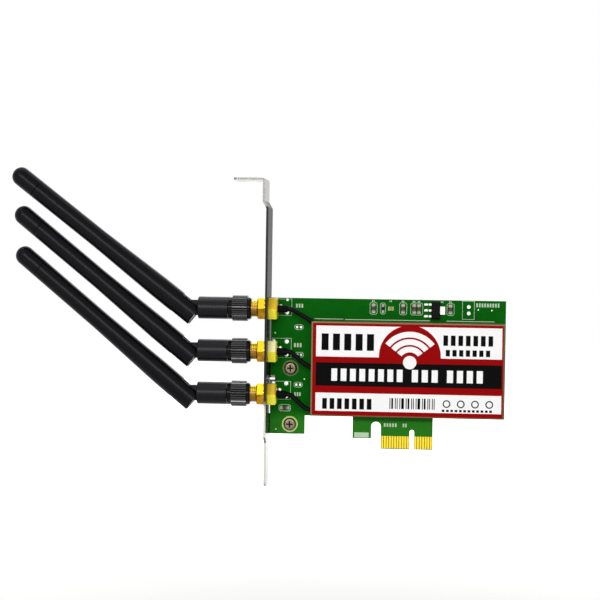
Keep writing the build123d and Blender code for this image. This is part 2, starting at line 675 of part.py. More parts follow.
# Radio module: board, shield can, coax sockets, standoffs and screws
standoff_places = [(STANDOFF_X, MODULE_MID + side * STANDOFF_SPACING / 2) for side in (-1, 1)]
with BuildPart() as module_board:
    with BuildSketch(face_plane(MODULE_UNDER)):
        with Locations((MODULE_LEFT, MODULE_MID)):
            Rectangle(MODULE_LENGTH, MODULE_WIDTH, align=(Align.MIN, Align.CENTER))
        with Locations(*standoff_places):
            Circle(MODULE_HOLE / 2, mode=Mode.SUBTRACT)
    extrude(amount=MODULE_THICK)
save(module_board, "module_board")

with BuildPart() as module_can:
    with BuildSketch(face_plane(MODULE_UPPER)):
        with Locations((CAN_LEFT, MODULE_MID)):
            Rectangle(CAN_LENGTH, CAN_WIDTH, align=(Align.MIN, Align.CENTER))
    extrude(amount=CAN_HEIGHT)
    fillet(module_can.faces().sort_by(Axis.Y)[0].edges(), CAN_ROUND)
    with BuildSketch(face_plane(MODULE_UPPER)):
        with Locations((CAN_LEFT + CAN_WALL, MODULE_MID)):
            Rectangle(CAN_LENGTH - 2 * CAN_WALL, CAN_WIDTH - 2 * CAN_WALL, align=(Align.MIN, Align.CENTER))
    extrude(amount=CAN_HEIGHT - CAN_ROUND, mode=Mode.SUBTRACT)
save(module_can, "module_can")

with BuildPart() as coax_sockets:
    socket_places = [route[-1] for route in LEAD_ROUTES]
    with BuildSketch(face_plane(MODULE_UPPER)):
        with Locations(*socket_places):
            Rectangle(COAX_SOCKET_SIDE, COAX_SOCKET_SIDE)
    extrude(amount=COAX_SOCKET_BASE)
    with BuildSketch(face_plane(COAX_PLUG_UNDER)):
        with Locations(*socket_places):
            Circle(COAX_SOCKET_RING / 2)
    extrude(amount=COAX_SOCKET_RISE)
save(coax_sockets, "coax_sockets")

with BuildPart() as module_standoffs:
    with BuildSketch(face_plane(0)):
        with Locations(*standoff_places):
            Circle(STANDOFF_OUTER / 2)
            Circle(MODULE_SCREW / 2, mode=Mode.SUBTRACT)
    extrude(amount=STANDOFF_HEIGHT)
save(module_standoffs, "module_standoffs")

with BuildPart() as module_screws:
    with BuildSketch(face_plane(0)):
        with Locations(*standoff_places):
            Circle(MODULE_SCREW / 2)
    extrude(amount=MODULE_UPPER)
    with BuildSketch(face_plane(MODULE_UPPER)):
        with Locations(*standoff_places):
            Circle(MODULE_SCREW_HEAD / 2)
    extrude(amount=MODULE_SCREW_HEAD_HEIGHT)
save(module_screws, "module_screws")

# Edge socket that holds the module's other end
with BuildPart() as module_socket:
    socket_left = MODULE_RIGHT - SOCKET_GRIP
    with BuildSketch(face_plane(0)):
        with Locations((socket_left, MODULE_MID)):
            Rectangle(SOCKET_LENGTH, SOCKET_WIDTH, align=(Align.MIN, Align.CENTER))
    extrude(amount=MODULE_UPPER + SOCKET_ROOF)
    with BuildSketch(face_plane(MODULE_UNDER)):
        with Locations((socket_left, MODULE_MID)):
            Rectangle(SOCKET_GRIP, MODULE_WIDTH, align=(Align.MIN, Align.CENTER))
    extrude(amount=MODULE_THICK, mode=Mode.SUBTRACT)
save(module_socket, "module_socket")

# Voltage regulator and its leads
with BuildPart() as regulator:
    with BuildSketch(face_plane(LEAD_THICK)):
        with Locations((REGULATOR_LEFT, REGULATOR_Z)):
            Rectangle(REGULATOR_WIDTH, REGULATOR_HEIGHT, align=(Align.MIN, Align.CENTER))
    extrude(amount=REGULATOR_RISE)
    chamfer(regulator.faces().sort_by(Axis.Y)[0].edges(), REGULATOR_CHAMFER)
save(regulator, "regulator")

with BuildPart() as regulator_leads:
    lead_middle = FACE - LEAD_THICK / 2
    for step in (-1, 0, 1):
        lead_z = REGULATOR_Z + step * LEAD_PITCH
        with BuildSketch(Plane.XY.offset(lead_z - LEAD_WIDTH / 2)):
            with BuildLine():
                Polyline(
                    (REGULATOR_LEFT, FACE - LEAD_EXIT),
                    (REGULATOR_LEFT - LEAD_SHOULDER, FACE - LEAD_EXIT),
                    (REGULATOR_LEFT - LEAD_REACH + LEAD_FOOT, lead_middle),
                    (REGULATOR_LEFT - LEAD_REACH, lead_middle),
                )
            trace(line_width=LEAD_THICK)
        extrude(amount=LEAD_WIDTH)
    with BuildSketch(face_plane(0)):
        with Locations((REGULATOR_LEFT, REGULATOR_Z)):
            tab_length = REGULATOR_WIDTH + LEAD_REACH - LEAD_SHOULDER
            Rectangle(tab_length, HEAT_TAB_WIDTH, align=(Align.MIN, Align.CENTER))
    extrude(amount=LEAD_THICK)
save(regulator_leads, "regulator_leads")

# Chip capacitors, resistor and indicator light
with BuildPart() as capacitors:
    with BuildSketch(face_plane(0)):
        with Locations(*[(x, CHIP_Z) for x in CAPACITOR_XS]):
            Rectangle(CHIP_WIDTH, CHIP_LENGTH)
        with Locations((FILTER_X, FILTER_Z)):
            Rectangle(CHIP_LENGTH, CHIP_WIDTH)
    extrude(amount=CHIP_RISE)
    fillet(capacitors.edges().group_by(Axis.Y)[0], CHIP_ROUND)
save(capacitors, "capacitors")

with BuildPart() as resistor:
    with BuildSketch(face_plane(0)):
        with Locations((RESISTOR_X, CHIP_Z)):
            Rectangle(RESISTOR_WIDTH, RESISTOR_LENGTH)
    extrude(amount=RESISTOR_RISE)
save(resistor, "resistor")

with BuildPart() as indicator_light:
    with BuildSketch(face_plane(0)):
        with Locations((LAMP_X, CHIP_Z)):
            Rectangle(LAMP_WIDTH, LAMP_LENGTH)
    extrude(amount=LAMP_RISE / 2)
    with BuildSketch(face_plane(LAMP_RISE / 2)):
        with Locations((LAMP_X, CHIP_Z)):
            Rectangle(LAMP_LENS, LAMP_LENGTH)
    extrude(amount=LAMP_RISE / 2)
save(indicator_light, "indicator_light")


def build_antenna(number, height, tilt):
    """Collar, plug, base and tilted whip of one antenna."""
    with BuildPart() as collar:
        with BuildSketch(axis_plane(COLLAR_START, height)):
            Circle(RIM / 2)
        extrude(amount=COLLAR_END - COLLAR_START)
        rims = collar.edges().filter_by(GeomType.CIRCLE)
        chamfer(rims.group_by(Axis.X)[-1], COLLAR_CHAMFER)
        with BuildSketch(axis_plane(KNURL_START, height)):
            Circle(KNURL / 2)
            with PolarLocations(KNURL / 2, KNURL_COUNT):
                Rectangle(KNURL_DEPTH * math.sqrt(2), KNURL_DEPTH * math.sqrt(2), rotation=45, mode=Mode.SUBTRACT)
        extrude(amount=KNURL_LENGTH)
        with BuildSketch(axis_plane(COLLAR_START, height)):
            Circle(THREAD / 2 + COLLAR_THREAD_GAP)
        extrude(amount=LIP_FACE - COLLAR_START, mode=Mode.SUBTRACT)
        with BuildSketch(axis_plane(LIP_FACE, height)):
            Circle(PLUG_SHANK / 2 + RUNNING_GAP)
        extrude(amount=COLLAR_END - LIP_FACE, mode=Mode.SUBTRACT)
    save(collar, f"collar_{number}")

    with BuildPart() as antenna_plug:
        with BuildSketch(profile_plane(height)):
            with BuildLine():
                Polyline(
                    (NOSE_FACE, PLUG_BORE / 2),
                    (NOSE_FACE, JACK_BORE / 2 - RUNNING_GAP),
                    (FLANGE_FACE, JACK_BORE / 2 - RUNNING_GAP),
                    (FLANGE_FACE, PLUG_FLANGE / 2),
                    (FLANGE_BACK, PLUG_FLANGE / 2),
                    (FLANGE_BACK, PLUG_SHANK / 2),
                    (SHANK_END, PLUG_SHANK / 2),
                    (SHANK_END, PLUG_BORE / 2),
                    close=True,
                )
            make_face()
        revolve(axis=spin_axis(height))
    save(antenna_plug, f"antenna_plug_{number}")

    with BuildPart() as plug_insulator:
        with BuildSketch(axis_plane(NOSE_FACE, height)):
            Circle(PLUG_BORE / 2)
            Circle(CONTACT_OUTER / 2, mode=Mode.SUBTRACT)
        extrude(amount=SHANK_END - NOSE_FACE)
    save(plug_insulator, f"plug_insulator_{number}")

    with BuildPart() as plug_contact:
        with BuildSketch(axis_plane(CONTACT_FACE, height)):
            Circle(CONTACT_OUTER / 2)
        extrude(amount=SHANK_END - CONTACT_FACE)
        with BuildSketch(axis_plane(CONTACT_FACE, height)):
            Circle(PIN / 2 + RUNNING_GAP)
        extrude(amount=CONTACT_SOCKET_DEPTH, mode=Mode.SUBTRACT)
    save(plug_contact, f"plug_contact_{number}")

    pivot = Vector(-PIVOT, JACK_Y, height)
    hinge_plane = Plane(origin=pivot, x_dir=(-1, 0, 0), z_dir=(0, 1, 0))
    with BuildPart() as antenna_base:
        with BuildSketch(axis_plane(BARREL_START, height)):
            Circle(BARREL / 2)
        extrude(amount=BARREL_LENGTH)
        fillet(antenna_base.edges().filter_by(GeomType.CIRCLE).group_by(Axis.X)[0], BARREL_ROUND)
        with BuildSketch(hinge_plane):
            Circle(TONGUE_HEIGHT / 2)
            Rectangle(PIVOT_OFFSET + BARREL_ROUND, TONGUE_HEIGHT, align=(Align.MAX, Align.CENTER))
        extrude(amount=TONGUE_THICK / 2, both=True)
        with BuildSketch(hinge_plane):
            Circle(HINGE_PIN / 2)
        extrude(amount=TONGUE_THICK, both=True, mode=Mode.SUBTRACT)
        with BuildSketch(axis_plane(BARREL_START, height)):
            Circle(PLUG_SHANK / 2)
        extrude(amount=PLUG_SHANK_DEPTH, mode=Mode.SUBTRACT)
    save(antenna_base, f"antenna_base_{number}")

    with BuildPart() as hinge_pin:
        with BuildSketch(hinge_plane):
            Circle(HINGE_PIN / 2)
        extrude(amount=HINGE_PIN_LENGTH / 2, both=True)
    save(hinge_pin, f"hinge_pin_{number}")

    angle = math.radians(tilt)
    whip_direction = Vector(-math.cos(angle), 0, math.sin(angle))
    whip_plane = Plane(origin=pivot, x_dir=whip_direction, z_dir=(0, 1, 0))
    whip_axis = Axis(pivot, whip_direction)
    with BuildPart() as whip:
        with BuildSketch(whip_plane):
            with BuildLine():
                Polyline(
                    (-FORK_END, 0),
                    (-FORK_END, WHIP_ROOT / 2),
                    (TAPER_START, WHIP_ROOT / 2),
                    (TAPER_END, WHIP_THIN / 2),
                    (WHIP_BODY_END - SEAM_CHAMFER, WHIP_THIN / 2),
                    (WHIP_BODY_END, WHIP_THIN / 2 - SEAM_CHAMFER),
                    (WHIP_BODY_END, WHIP_BORE / 2),
                    (WHIP_BORE_START, WHIP_BORE / 2),
                    (WHIP_BORE_START, 0),
                    close=True,
                )
            make_face()
        revolve(axis=whip_axis)
        # Slot for the tongue
        with BuildSketch(whip_plane):
            with Locations((FORK_SLOT_DEPTH, 0)):
                Rectangle(FORK_SLOT_DEPTH + 2 * FORK_END, 2 * WHIP_ROOT, align=(Align.MAX, Align.CENTER))
        extrude(amount=FORK_SLOT / 2, both=True, mode=Mode.SUBTRACT)
        # Step along the cheeks' upper side
        with BuildSketch(whip_plane):
            with Locations((FORK_SLOT_DEPTH, WHIP_ROOT / 2 - FORK_STEP)):
                Rectangle(FORK_SLOT_DEPTH + 2 * FORK_END, WHIP_ROOT, align=(Align.MAX, Align.MIN))
        extrude(amount=WHIP_ROOT, both=True, mode=Mode.SUBTRACT)
        # Relief of the cheeks' upper corner, which swings past the barrel's shoulder
        with BuildSketch(whip_plane):
            Rectangle(2 * FORK_END, WHIP_ROOT, align=(Align.MAX, Align.MIN))
            Circle(FORK_RELIEF, mode=Mode.SUBTRACT)
        extrude(amount=WHIP_ROOT, both=True, mode=Mode.SUBTRACT)
        # Blind holes for the hinge pin
        with BuildSketch(whip_plane):
            Circle(HINGE_PIN / 2 + RUNNING_GAP)
        extrude(amount=HINGE_PIN_LENGTH / 2 + RUNNING_GAP, both=True, mode=Mode.SUBTRACT)
    save(whip, f"whip_{number}")

    with BuildPart() as tip_cap:
        with BuildSketch(whip_plane):
            with BuildLine():
                dome = WHIP_LENGTH - WHIP_THIN / 2
                Polyline(
                    (WHIP_LENGTH, 0),
                    (WHIP_BODY_END - TIP_SPIGOT, 0),
                    (WHIP_BODY_END - TIP_SPIGOT, WHIP_BORE / 2),
                    (WHIP_BODY_END, WHIP_BORE / 2),
                    (WHIP_BODY_END, WHIP_THIN / 2 - SEAM_CHAMFER),
                    (WHIP_BODY_END + SEAM_CHAMFER, WHIP_THIN / 2),
                    (dome, WHIP_THIN / 2),
                )
                RadiusArc((dome, WHIP_THIN / 2), (WHIP_LENGTH, 0), WHIP_THIN / 2)
            make_face()
        revolve(axis=whip_axis)
    save(tip_cap, f"tip_cap_{number}")

    with BuildPart() as radiator:
        sleeve_end = WHIP_BORE_START + RADIATOR_SLEEVE_LENGTH
        rod_end = sleeve_end + RADIATOR_ROD_LENGTH
        with BuildSketch(whip_plane):
            with BuildLine():
                Polyline(
                    (WHIP_BORE_START, 0),
                    (WHIP_BORE_START, RADIATOR_SLEEVE / 2),
                    (sleeve_end, RADIATOR_SLEEVE / 2),
                    (sleeve_end, RADIATOR_ROD / 2),
                    (rod_end, RADIATOR_ROD / 2),
                    (rod_end, 0),
                    close=True,
                )
            make_face()
        revolve(axis=whip_axis)
    save(radiator, f"radiator_{number}")


for index, jack_height in enumerate(JACK_HEIGHTS):
    build_antenna(index + 1, jack_height, WHIP_TILTS[index])
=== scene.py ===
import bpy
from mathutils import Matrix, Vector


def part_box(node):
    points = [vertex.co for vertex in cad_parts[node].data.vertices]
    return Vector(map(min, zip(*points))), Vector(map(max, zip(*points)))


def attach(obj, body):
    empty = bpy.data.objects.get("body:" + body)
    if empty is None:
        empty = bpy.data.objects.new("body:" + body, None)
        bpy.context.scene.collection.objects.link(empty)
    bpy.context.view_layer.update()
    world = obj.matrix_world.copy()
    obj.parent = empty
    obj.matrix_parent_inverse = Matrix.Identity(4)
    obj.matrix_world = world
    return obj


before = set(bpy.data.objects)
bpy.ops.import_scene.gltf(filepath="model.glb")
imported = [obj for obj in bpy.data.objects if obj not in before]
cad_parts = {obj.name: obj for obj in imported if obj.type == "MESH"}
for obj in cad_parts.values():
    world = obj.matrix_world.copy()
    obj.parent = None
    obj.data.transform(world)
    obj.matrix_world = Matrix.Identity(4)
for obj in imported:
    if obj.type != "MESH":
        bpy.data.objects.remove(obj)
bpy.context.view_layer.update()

import math

import bmesh
import bpy
from mathutils import Matrix, Vector

bl_info = {
    "name": "Wireless card looks",
    "version": (1, 0, 0),
    "blender": (4, 5, 0),
    "location": "3D View > Sidebar > Card",
    "description": "Dresses a wireless expansion card with print, pads, threads, finishes and a stage",
    "category": "Object",
}

MM = 0.001
WHITE = (1.0, 1.0, 1.0)

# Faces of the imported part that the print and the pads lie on
BOARD_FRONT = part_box("circuit_board")[0].y
BOARD_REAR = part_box("circuit_board")[1].y
BOARD_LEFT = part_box("circuit_board")[0].x
LABEL_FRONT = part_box("cover_label")[0].y

# Places on the board in millimetres: X along the card, Z up from the contact edge
FOOTPRINT_X = -52.3
FOOTPRINT_ZS = (55.5, 39.0, 22.5)
FOOTPRINT_HALF = 2.54
FOOTPRINT_HOLE_RADIUS = 0.55
FOOTPRINT_CENTRE_RADIUS = 0.45
SCREW_PLACES = ((-48.1, 31.1), (-48.1, 9.0))
HEADER_PLACES = ((21.5, 56.32), (21.5, 53.78))
HEADER_HOLE_RADIUS = 0.45
BOARD_TOP = 58.8
VIA_RADIUS = 0.25
VIA_PLACES = ((-53.6, 6.9), (25.2, 55.3), (30.5, 55.1), (-54.4, 44.9), (-42.6, 26.9))
SILK_BOXES = (
    (-55.6, -47.9, 51.8, 58.4),
    (-55.6, -47.9, 35.1, 42.9),
    (-55.6, -47.9, 18.6, 25.9),
    (18.95, 23.75, 51.4, 58.7),
)
SILK_BARS = ((-39.0, -27.6, 50.6, 50.9), (-26.9, 6.4, 50.5, 50.8), (12.9, 31.6, 50.5, 50.8))
# Heights between which the copper under the lacquer ends
COPPER_EDGE = (10.5, 14.5)
HOOK_BAR = (-22.6, -16.9, 4.3, 6.3)
# Pairs of bare pads: their middles, and the sizes of one pad
BARE_PADS = ((-45.0, 47.3), (-44.8, 36.4), (-45.0, 24.6))
BARE_PAD_SPACING = 1.5
BARE_PAD_WIDTH = 0.8
BARE_PAD_HEIGHT = 0.9
BARE_PAD_CORNER = 0.15
# Chip parts: places, sizes, and the pads that reach out from under their ends
CHIP_Z = 55.2
CAPACITOR_XS = (-15.75, -4.15, 0.2, 2.1, 14.4)
RESISTOR_X = -12.05
FILTER_PLACE = (-50.2, 15.4)
CHIP_LENGTH = 2.0
CHIP_WIDTH = 1.25
CHIP_RISE = 0.9
RESISTOR_LENGTH = 1.6
RESISTOR_WIDTH = 0.8
RESISTOR_RISE = 0.45
PAD_LENGTH = 1.2
PAD_REACH = 0.3
PAD_ROOM = 0.15
PAD_CORNER = 0.2
PAD_CORNER_STEPS = 3
CHIP_BEVEL = 0.1
# Rise of the indicator light's base, up to its lens
LAMP_BASE = 0.41
# Sides of the round patches
VIA_SIDES = 16
HOLE_SIDES = 24
RING_SIDES = 48
DOME_SIDES = 96
# Printed outlines: X, Z, width and height
OUTLINES = (
    (CAPACITOR_XS[0], CHIP_Z, 3.0, 4.9),
    (CAPACITOR_XS[1], CHIP_Z, 3.0, 4.9),
    ((CAPACITOR_XS[2] + CAPACITOR_XS[3]) / 2, CHIP_Z, 4.9, 4.9),
    (CAPACITOR_XS[4], CHIP_Z, 3.0, 4.9),
    (RESISTOR_X, CHIP_Z, 2.2, 4.5),
    (*FILTER_PLACE, 4.7, 2.7),
    *[(*place, 3.5, 2.1) for place in BARE_PADS],
)
# Rows of plain blocks where a board has its small print: left, right, base, top and number of blocks
SILK_ROWS = (
    (-46.9, -43.5, 39.4, 41.0, 3),
    (-46.5, -43.6, 20.1, 21.6, 3),
    (-46.3, -43.1, 55.0, 56.5, 3),
    (24.4, 33.8, 56.3, 57.8, 9),
    (-11.0, -5.6, 8.7, 10.1, 5),
    (-3.6, -1.7, 8.7, 10.1, 2),
    (-16.35, -15.15, 57.8, 58.4, 2),
    (-9.55, -8.35, 57.8, 58.4, 2),
    (-4.75, -3.55, 57.8, 58.4, 2),
    (-0.4, 0.8, 57.8, 58.4, 2),
    (1.5, 2.7, 57.8, 58.4, 2),
    (10.6, 11.8, 57.8, 58.4, 2),
    (13.8, 15.0, 57.8, 58.4, 2),
)

# Fields of the label in millimetres
LABEL_LEFT = -37.6
LABEL_RIGHT = 34.5
UPPER_PANEL = (36.3, 48.35)
BAND = (24.9, 34.0)
LOWER_PANEL = (15.15, 22.2)
DOME_CENTRE = (-1.1, 36.9)
SIGNAL_CENTRE = (-1.1, 34.5)
SIGNAL_ARCS = ((4.0, 6.2), (6.9, 9.1), (9.8, 12.0))
SIGNAL_HALF_ANGLE = 52.5
BAR_FIELD = (-8.7, 8.8, 16.4, 20.6)
BAR_STEP = 0.35
RING_PLACES = ((13.4, 18.7), (18.9, 18.7), (24.4, 18.7), (29.9, 18.7))
# Rows of plain blocks in place of words, dark on the panels and pale on the band
DARK_ROWS = (
    (-35.5, -13.4, 38.8, 45.3, 5),
    (11.8, 32.1, 41.3, 45.3, 7),
    (12.8, 30.9, 37.2, 39.7, 7),
    (-34.9, -14.6, 15.9, 20.1, 7),
    (11.6, 31.6, 15.6, 16.5, 12),
)
PALE_ROWS = ((-31.5, -2.4, 26.9, 31.7, 8), (-0.2, 11.3, 26.9, 31.7, 3), (13.4, 28.7, 26.9, 31.7, 4))
# Share of a block's pitch that is printed
BLOCK_SHARE = 0.62

# Depth below a screw's top from which painted shade covers the plating, and how dark it is
RECESS_SHADE_DEPTH = 0.7
RECESS_SHADE_TONE = 0.06
# Heights over which the bracket's brushed face begins and ends, and the level its reflection is dimmed to as
# painted shade at a grazing look
FACE_BEGINS = (15.5, 19.0)
FACE_ENDS = (94.8, 94.0)
GRAZING_SHADE_LEVEL = 0.2
# Height above which the ring round a screw is darker, and how dark it is there
RING_DARK_HEIGHT = 20.0
RING_DARK_TONE = 0.2
# Upward turn over which a surface becomes an upper side: on flats, and on round parts
FLAT_TURN = (0.3, 0.35)
ROUND_TURN = (0.25, 0.5)
# Upward turn over which the antennas' barrels get a painted grey highlight
HIGHLIGHT_TURN = (0.45, 0.95)
# Lengths of the collars' plain rims beside the knurl, and the level their reflection is dimmed to as painted
# shade
FRONT_RIM = 1.5
REAR_RIM = 1.6
COLLAR_RIM_SHADE = 0.15
# Share of the plating's brightness that is left as painted shade between the ridges of the threads
THREAD_SHADE_TONE = 0.35
# Crest of the thread in millimetres: root radius, lift over the root, and stretch along the axis
THREAD_RADIUS = 3.175
RIDGE_LIFT = 0.02
RIDGE_STRETCH = 1.6
THREAD_TURNS = 3
THREAD_STEPS = 36
# Distance in metres under which two points of the crest are one
WELD_DISTANCE = 1e-7
# Stretch of the grain that draws it out round a turned part
TURNING_MARKS = (3.0, 1.0, 1.0)
# Turn towards the component side or the rear above which a surface is a broad face
FACE_TURN = 0.6

# Stage in metres: the floor, its glow at two distances from the object, and the light from all sides
FLOOR_SIZE = 6
FLOOR_PLACE = (-0.045, 0, -0.078)
GLOW_DISTANCES = (0.1, 0.8)
GLOW_LEVELS = (0.27, 0.9)
AMBIENT = 0.25
# Lamps: name, place, width and height in metres, and power in watts. All are aimed at one point.
LAMPS = (
    ("key_softbox", (-0.7, -1.0, 1.0), 0.9, 0.9, 3.2),
    ("front_strip", (-0.05, -1.4, 0.42), 1.4, 0.2, 12.0),
    ("upper_strip", (-0.05, 0.25, 1.4), 1.4, 0.45, 4.0),
    ("rear_softbox", (0.2, 1.2, 0.7), 0.9, 0.9, 6.0),
)
LAMP_TARGET = (-0.06, 0.0, 0.045)
# The photograph's camera: a little to the right of square on, nearly level, leaning by under a degree.
# Target and distance are in millimetres, angles in degrees, and the focal length in the picture's pixels.
CAMERA_TARGET = (-44.79, -0.8, 58.0)
CAMERA_DISTANCE = 730
CAMERA_AZIMUTH = 4.5
CAMERA_ELEVATION = 1.0
CAMERA_LEAN = 0.85
FOCAL_PIXELS = 1852.6
PICTURE_PIXELS = 600
SENSOR_WIDTH = 36.0
CLIP_RANGE = (0.05, 20.0)


def hex_colour(code):
    """Turn an sRGB hex value into linear red, green and blue."""
    channels = [int(code[start : start + 2], 16) / 255 for start in (1, 3, 5)]
    return tuple(c / 12.92 if c <= 0.04045 else ((c + 0.055) / 1.055) ** 2.4 for c in channels)


def size_property(label, words, millimetres):
    """A length that a user may change."""
    return bpy.props.FloatProperty(
        name=label, description=words, default=millimetres * MM, min=0.0, precision=5,
        subtype="DISTANCE", unit="LENGTH",
    )


def colour_property(label, words, code):
    """A colour that a user may change."""
    return bpy.props.FloatVectorProperty(
        name=label, description=words, default=hex_colour(code), size=3, min=0.0, max=1.0, subtype="COLOR",
    )


class CardSizes(bpy.types.PropertyGroup):
    """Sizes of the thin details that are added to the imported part."""

    ink_film: size_property("Ink film", "Thickness of one printed layer", 0.02)
    silk_line: size_property("Silk line", "Width of the printed lines on the board", 0.18)
    outline_corner: size_property("Outline corner", "Corner radius of the printed outlines", 0.9)
    pad_film: size_property("Pad film", "Thickness of the tinned pads", 0.03)
    hole_ring: size_property("Hole ring", "Width of the tinned ring round a spare hole", 0.25)
    screw_ring: size_property("Screw ring", "Outer radius of the tinned ring round a bracket screw", 3.15)
    screw_ring_width: size_property("Screw ring width", "Width of the tinned ring round a bracket screw", 0.6)
    chip_end: size_property("Chip end", "Length of the tinned end of a chip", 0.3)
    chip_skin: size_property("Chip skin", "Thickness of a chip's tinned end", 0.02)
    dome_radius: size_property("Dome radius", "Radius of the dome on the label", 12.0)
    dot_radius: size_property("Dot radius", "Radius of the dot under the signal arcs", 2.6)
    ring_radius: size_property("Ring radius", "Outer radius of the small rings on the label", 1.5)
    ring_line: size_property("Ring line", "Width of the small rings' line", 0.45)
    thread_pitch: size_property("Thread pitch", "Pitch of the jacks' thread", 0.7056)
    thread_height: size_property("Thread height", "Height of the thread's crest above the jack", 0.14)


class CardColours(bpy.types.PropertyGroup):
    """Colours of the card's materials."""

    mask: colour_property("Solder mask", "Green lacquer of the board", "#015B05")
    mask_bare: colour_property("Mask without copper", "Lacquer over bare laminate", "#26741A")
    laminate: colour_property("Laminate", "Cut edge of the board", "#7E8F45")
    silk: colour_property("Silk", "Printing ink on the board", "#BCD4B4")
    gold: colour_property("Gold", "Gold plating of the jacks", "#F8D82C")
    # Painted reflection on the upper hexagon flats of the jacks: darker on the outer two, lighter on the
    # middle one
    gold_painted_shade: colour_property("Gold with painted shade", "Upper flats of the outer jacks", "#E2BC18")
    gold_painted_highlight: colour_property("Gold with painted highlight", "Upper flats of the middle jack", "#FFF8B0")
    worn_gold: colour_property("Worn gold", "Gold plating of the nuts and threads", "#DDA324")
    contact_gold: colour_property("Contact gold", "Gold plating of the edge contacts", "#E2BC36")
    steel: colour_property("Steel", "Bracket", "#96948F")
    # Edge tones of the bracket: painted light on the flange's and the tail's edges, painted shadow on the
    # face's edges
    flange_edge_painted_light: colour_property("Flange edge", "Sheared edges of the flange", "#7E7D7A")
    tail_edge_painted_light: colour_property("Tail edge", "Sheared edges of the tail", "#B0AFAC")
    edge_painted_shadow: colour_property("Steel edge", "Sheared edges of the bracket", "#2B2A2A")
    screw: colour_property("Screws", "Plated screws", "#726A57")
    tin: colour_property("Tin", "Tinned leads and pads", "#D0CFC8")
    solder: colour_property("Solder", "Pads and tinned ends of the chips", "#86847C")
    pad_tan: colour_property("Screw pad", "Tinned copper round the screws", "#9AA866")
    cover: colour_property("Cover", "Tinned cover sheet", "#66553C")
    label_red: colour_property("Label red", "Ground of the label", "#920103")
    label_white: colour_property("Label white", "Pale fields of the label", "#F6F5F5")
    label_black: colour_property("Label black", "Dark band of the label", "#030304")
    antenna: colour_property("Antenna", "Moulded antenna plastic", "#09090E")
    # Painted highlight on the upper side of the barrels
    barrel_highlight: colour_property("Painted highlight on plastic", "Upper side of the antennas' barrels", "#3A3A3D")
    collar: colour_property("Collar", "Coupling collars", "#0A0A0E")
    jacket: colour_property("Jacket", "Jacket of the coax leads", "#050506")
    epoxy: colour_property("Epoxy", "Moulded chip bodies", "#101012")
    ceramic: colour_property("Ceramic", "Bodies of the chip capacitors", "#4E3E34")
    lamp: colour_property("Lamp", "Lens of the indicator light", "#7F9420")
    floor: colour_property("Floor", "Studio floor", "#F4F4F2")


def add_node(tree, kind, sockets=None, **settings):
    """Add a node, set its options, and set or link its input sockets."""
    node = tree.nodes.new(kind)
    for name, value in settings.items():
        setattr(node, name, value)
    for socket, value in (sockets or {}).items():
        if isinstance(value, bpy.types.NodeSocket):
            tree.links.new(value, node.inputs[socket])
        else:
            node.inputs[socket].default_value = value
    return node


def new_material(name, colour, roughness, metallic=0.0, specular=0.5):
    """Start a material with one surface shader."""
    material = bpy.data.materials.new(name)
    material.use_nodes = True
    tree = material.node_tree
    tree.nodes.clear()
    shader = add_node(tree, "ShaderNodeBsdfPrincipled", {
        "Base Color": (*colour, 1.0),
        "Roughness": roughness,
        "Metallic": metallic,
        "Specular IOR Level": specular,
    })
    add_node(tree, "ShaderNodeOutputMaterial", {"Surface": shader.outputs["BSDF"]})
    return material, tree, shader


def shade(colour, factor):
    """A darker or lighter tone of a colour, with full cover."""
    return (*[min(1.0, channel * factor) for channel in colour], 1.0)


def opaque(colour):
    """A colour with full cover."""
    return (*colour, 1.0)


def axes(tree, kind):
    """X, Y and Z of a surface's place or of its normal, as its own object has them."""
    source = add_node(tree, "ShaderNodeTexCoord")
    return add_node(tree, "ShaderNodeSeparateXYZ", {"Vector": source.outputs[kind]}).outputs


def combine(tree, operation, first, second):
    """Join two values by a product, a choice or a test, and return the result."""
    return add_node(tree, "ShaderNodeMath", {0: first, 1: second}, operation=operation).outputs[0]


def ramp(tree, value, begin, end):
    """Share that goes from none to all between two values."""
    node = add_node(tree, "ShaderNodeMapRange", {"Value": value, "From Min": begin, "From Max": end})
    return node.outputs["Result"]


def blend(tree, share, first, second):
    """Mix two colours or colour sockets, and return the mix."""
    mix = add_node(tree, "ShaderNodeMix", {0: share, 6: first, 7: second}, data_type="RGBA")
    return mix.outputs[2]


def facing_up(tree, turn):
    """Share of a surface that is turned up, from none to all between two values of its normal."""
    return ramp(tree, axes(tree, "Normal")["Z"], *turn)


def broad_face(tree):
    """Tell the surfaces that face the component side or the rear from all others."""
    facing = add_node(tree, "ShaderNodeMath", {0: axes(tree, "Normal")["Y"]}, operation="ABSOLUTE")
    return combine(tree, "GREATER_THAN", facing.outputs[0], FACE_TURN)


def colour_by(tree, shader, colour):
    """Give a shader the colour that other nodes work out."""
    tree.links.new(colour, shader.inputs["Base Color"])


def dim_reflection_where(tree, shader, share, level):
    """Take a surface's reflection down to a level where the share is full, as painted shade."""
    tint = blend(tree, share, opaque(WHITE), opaque((level, level, level)))
    tree.links.new(tint, shader.inputs["Specular Tint"])


def seen_rays(tree):
    """Tell the rays that end in the picture, also by a mirror or glass, from those that only light."""
    path = add_node(tree, "ShaderNodeLightPath").outputs
    seen = combine(tree, "MAXIMUM", path["Is Camera Ray"], path["Is Glossy Ray"])
    return combine(tree, "MAXIMUM", seen, path["Is Transmission Ray"])


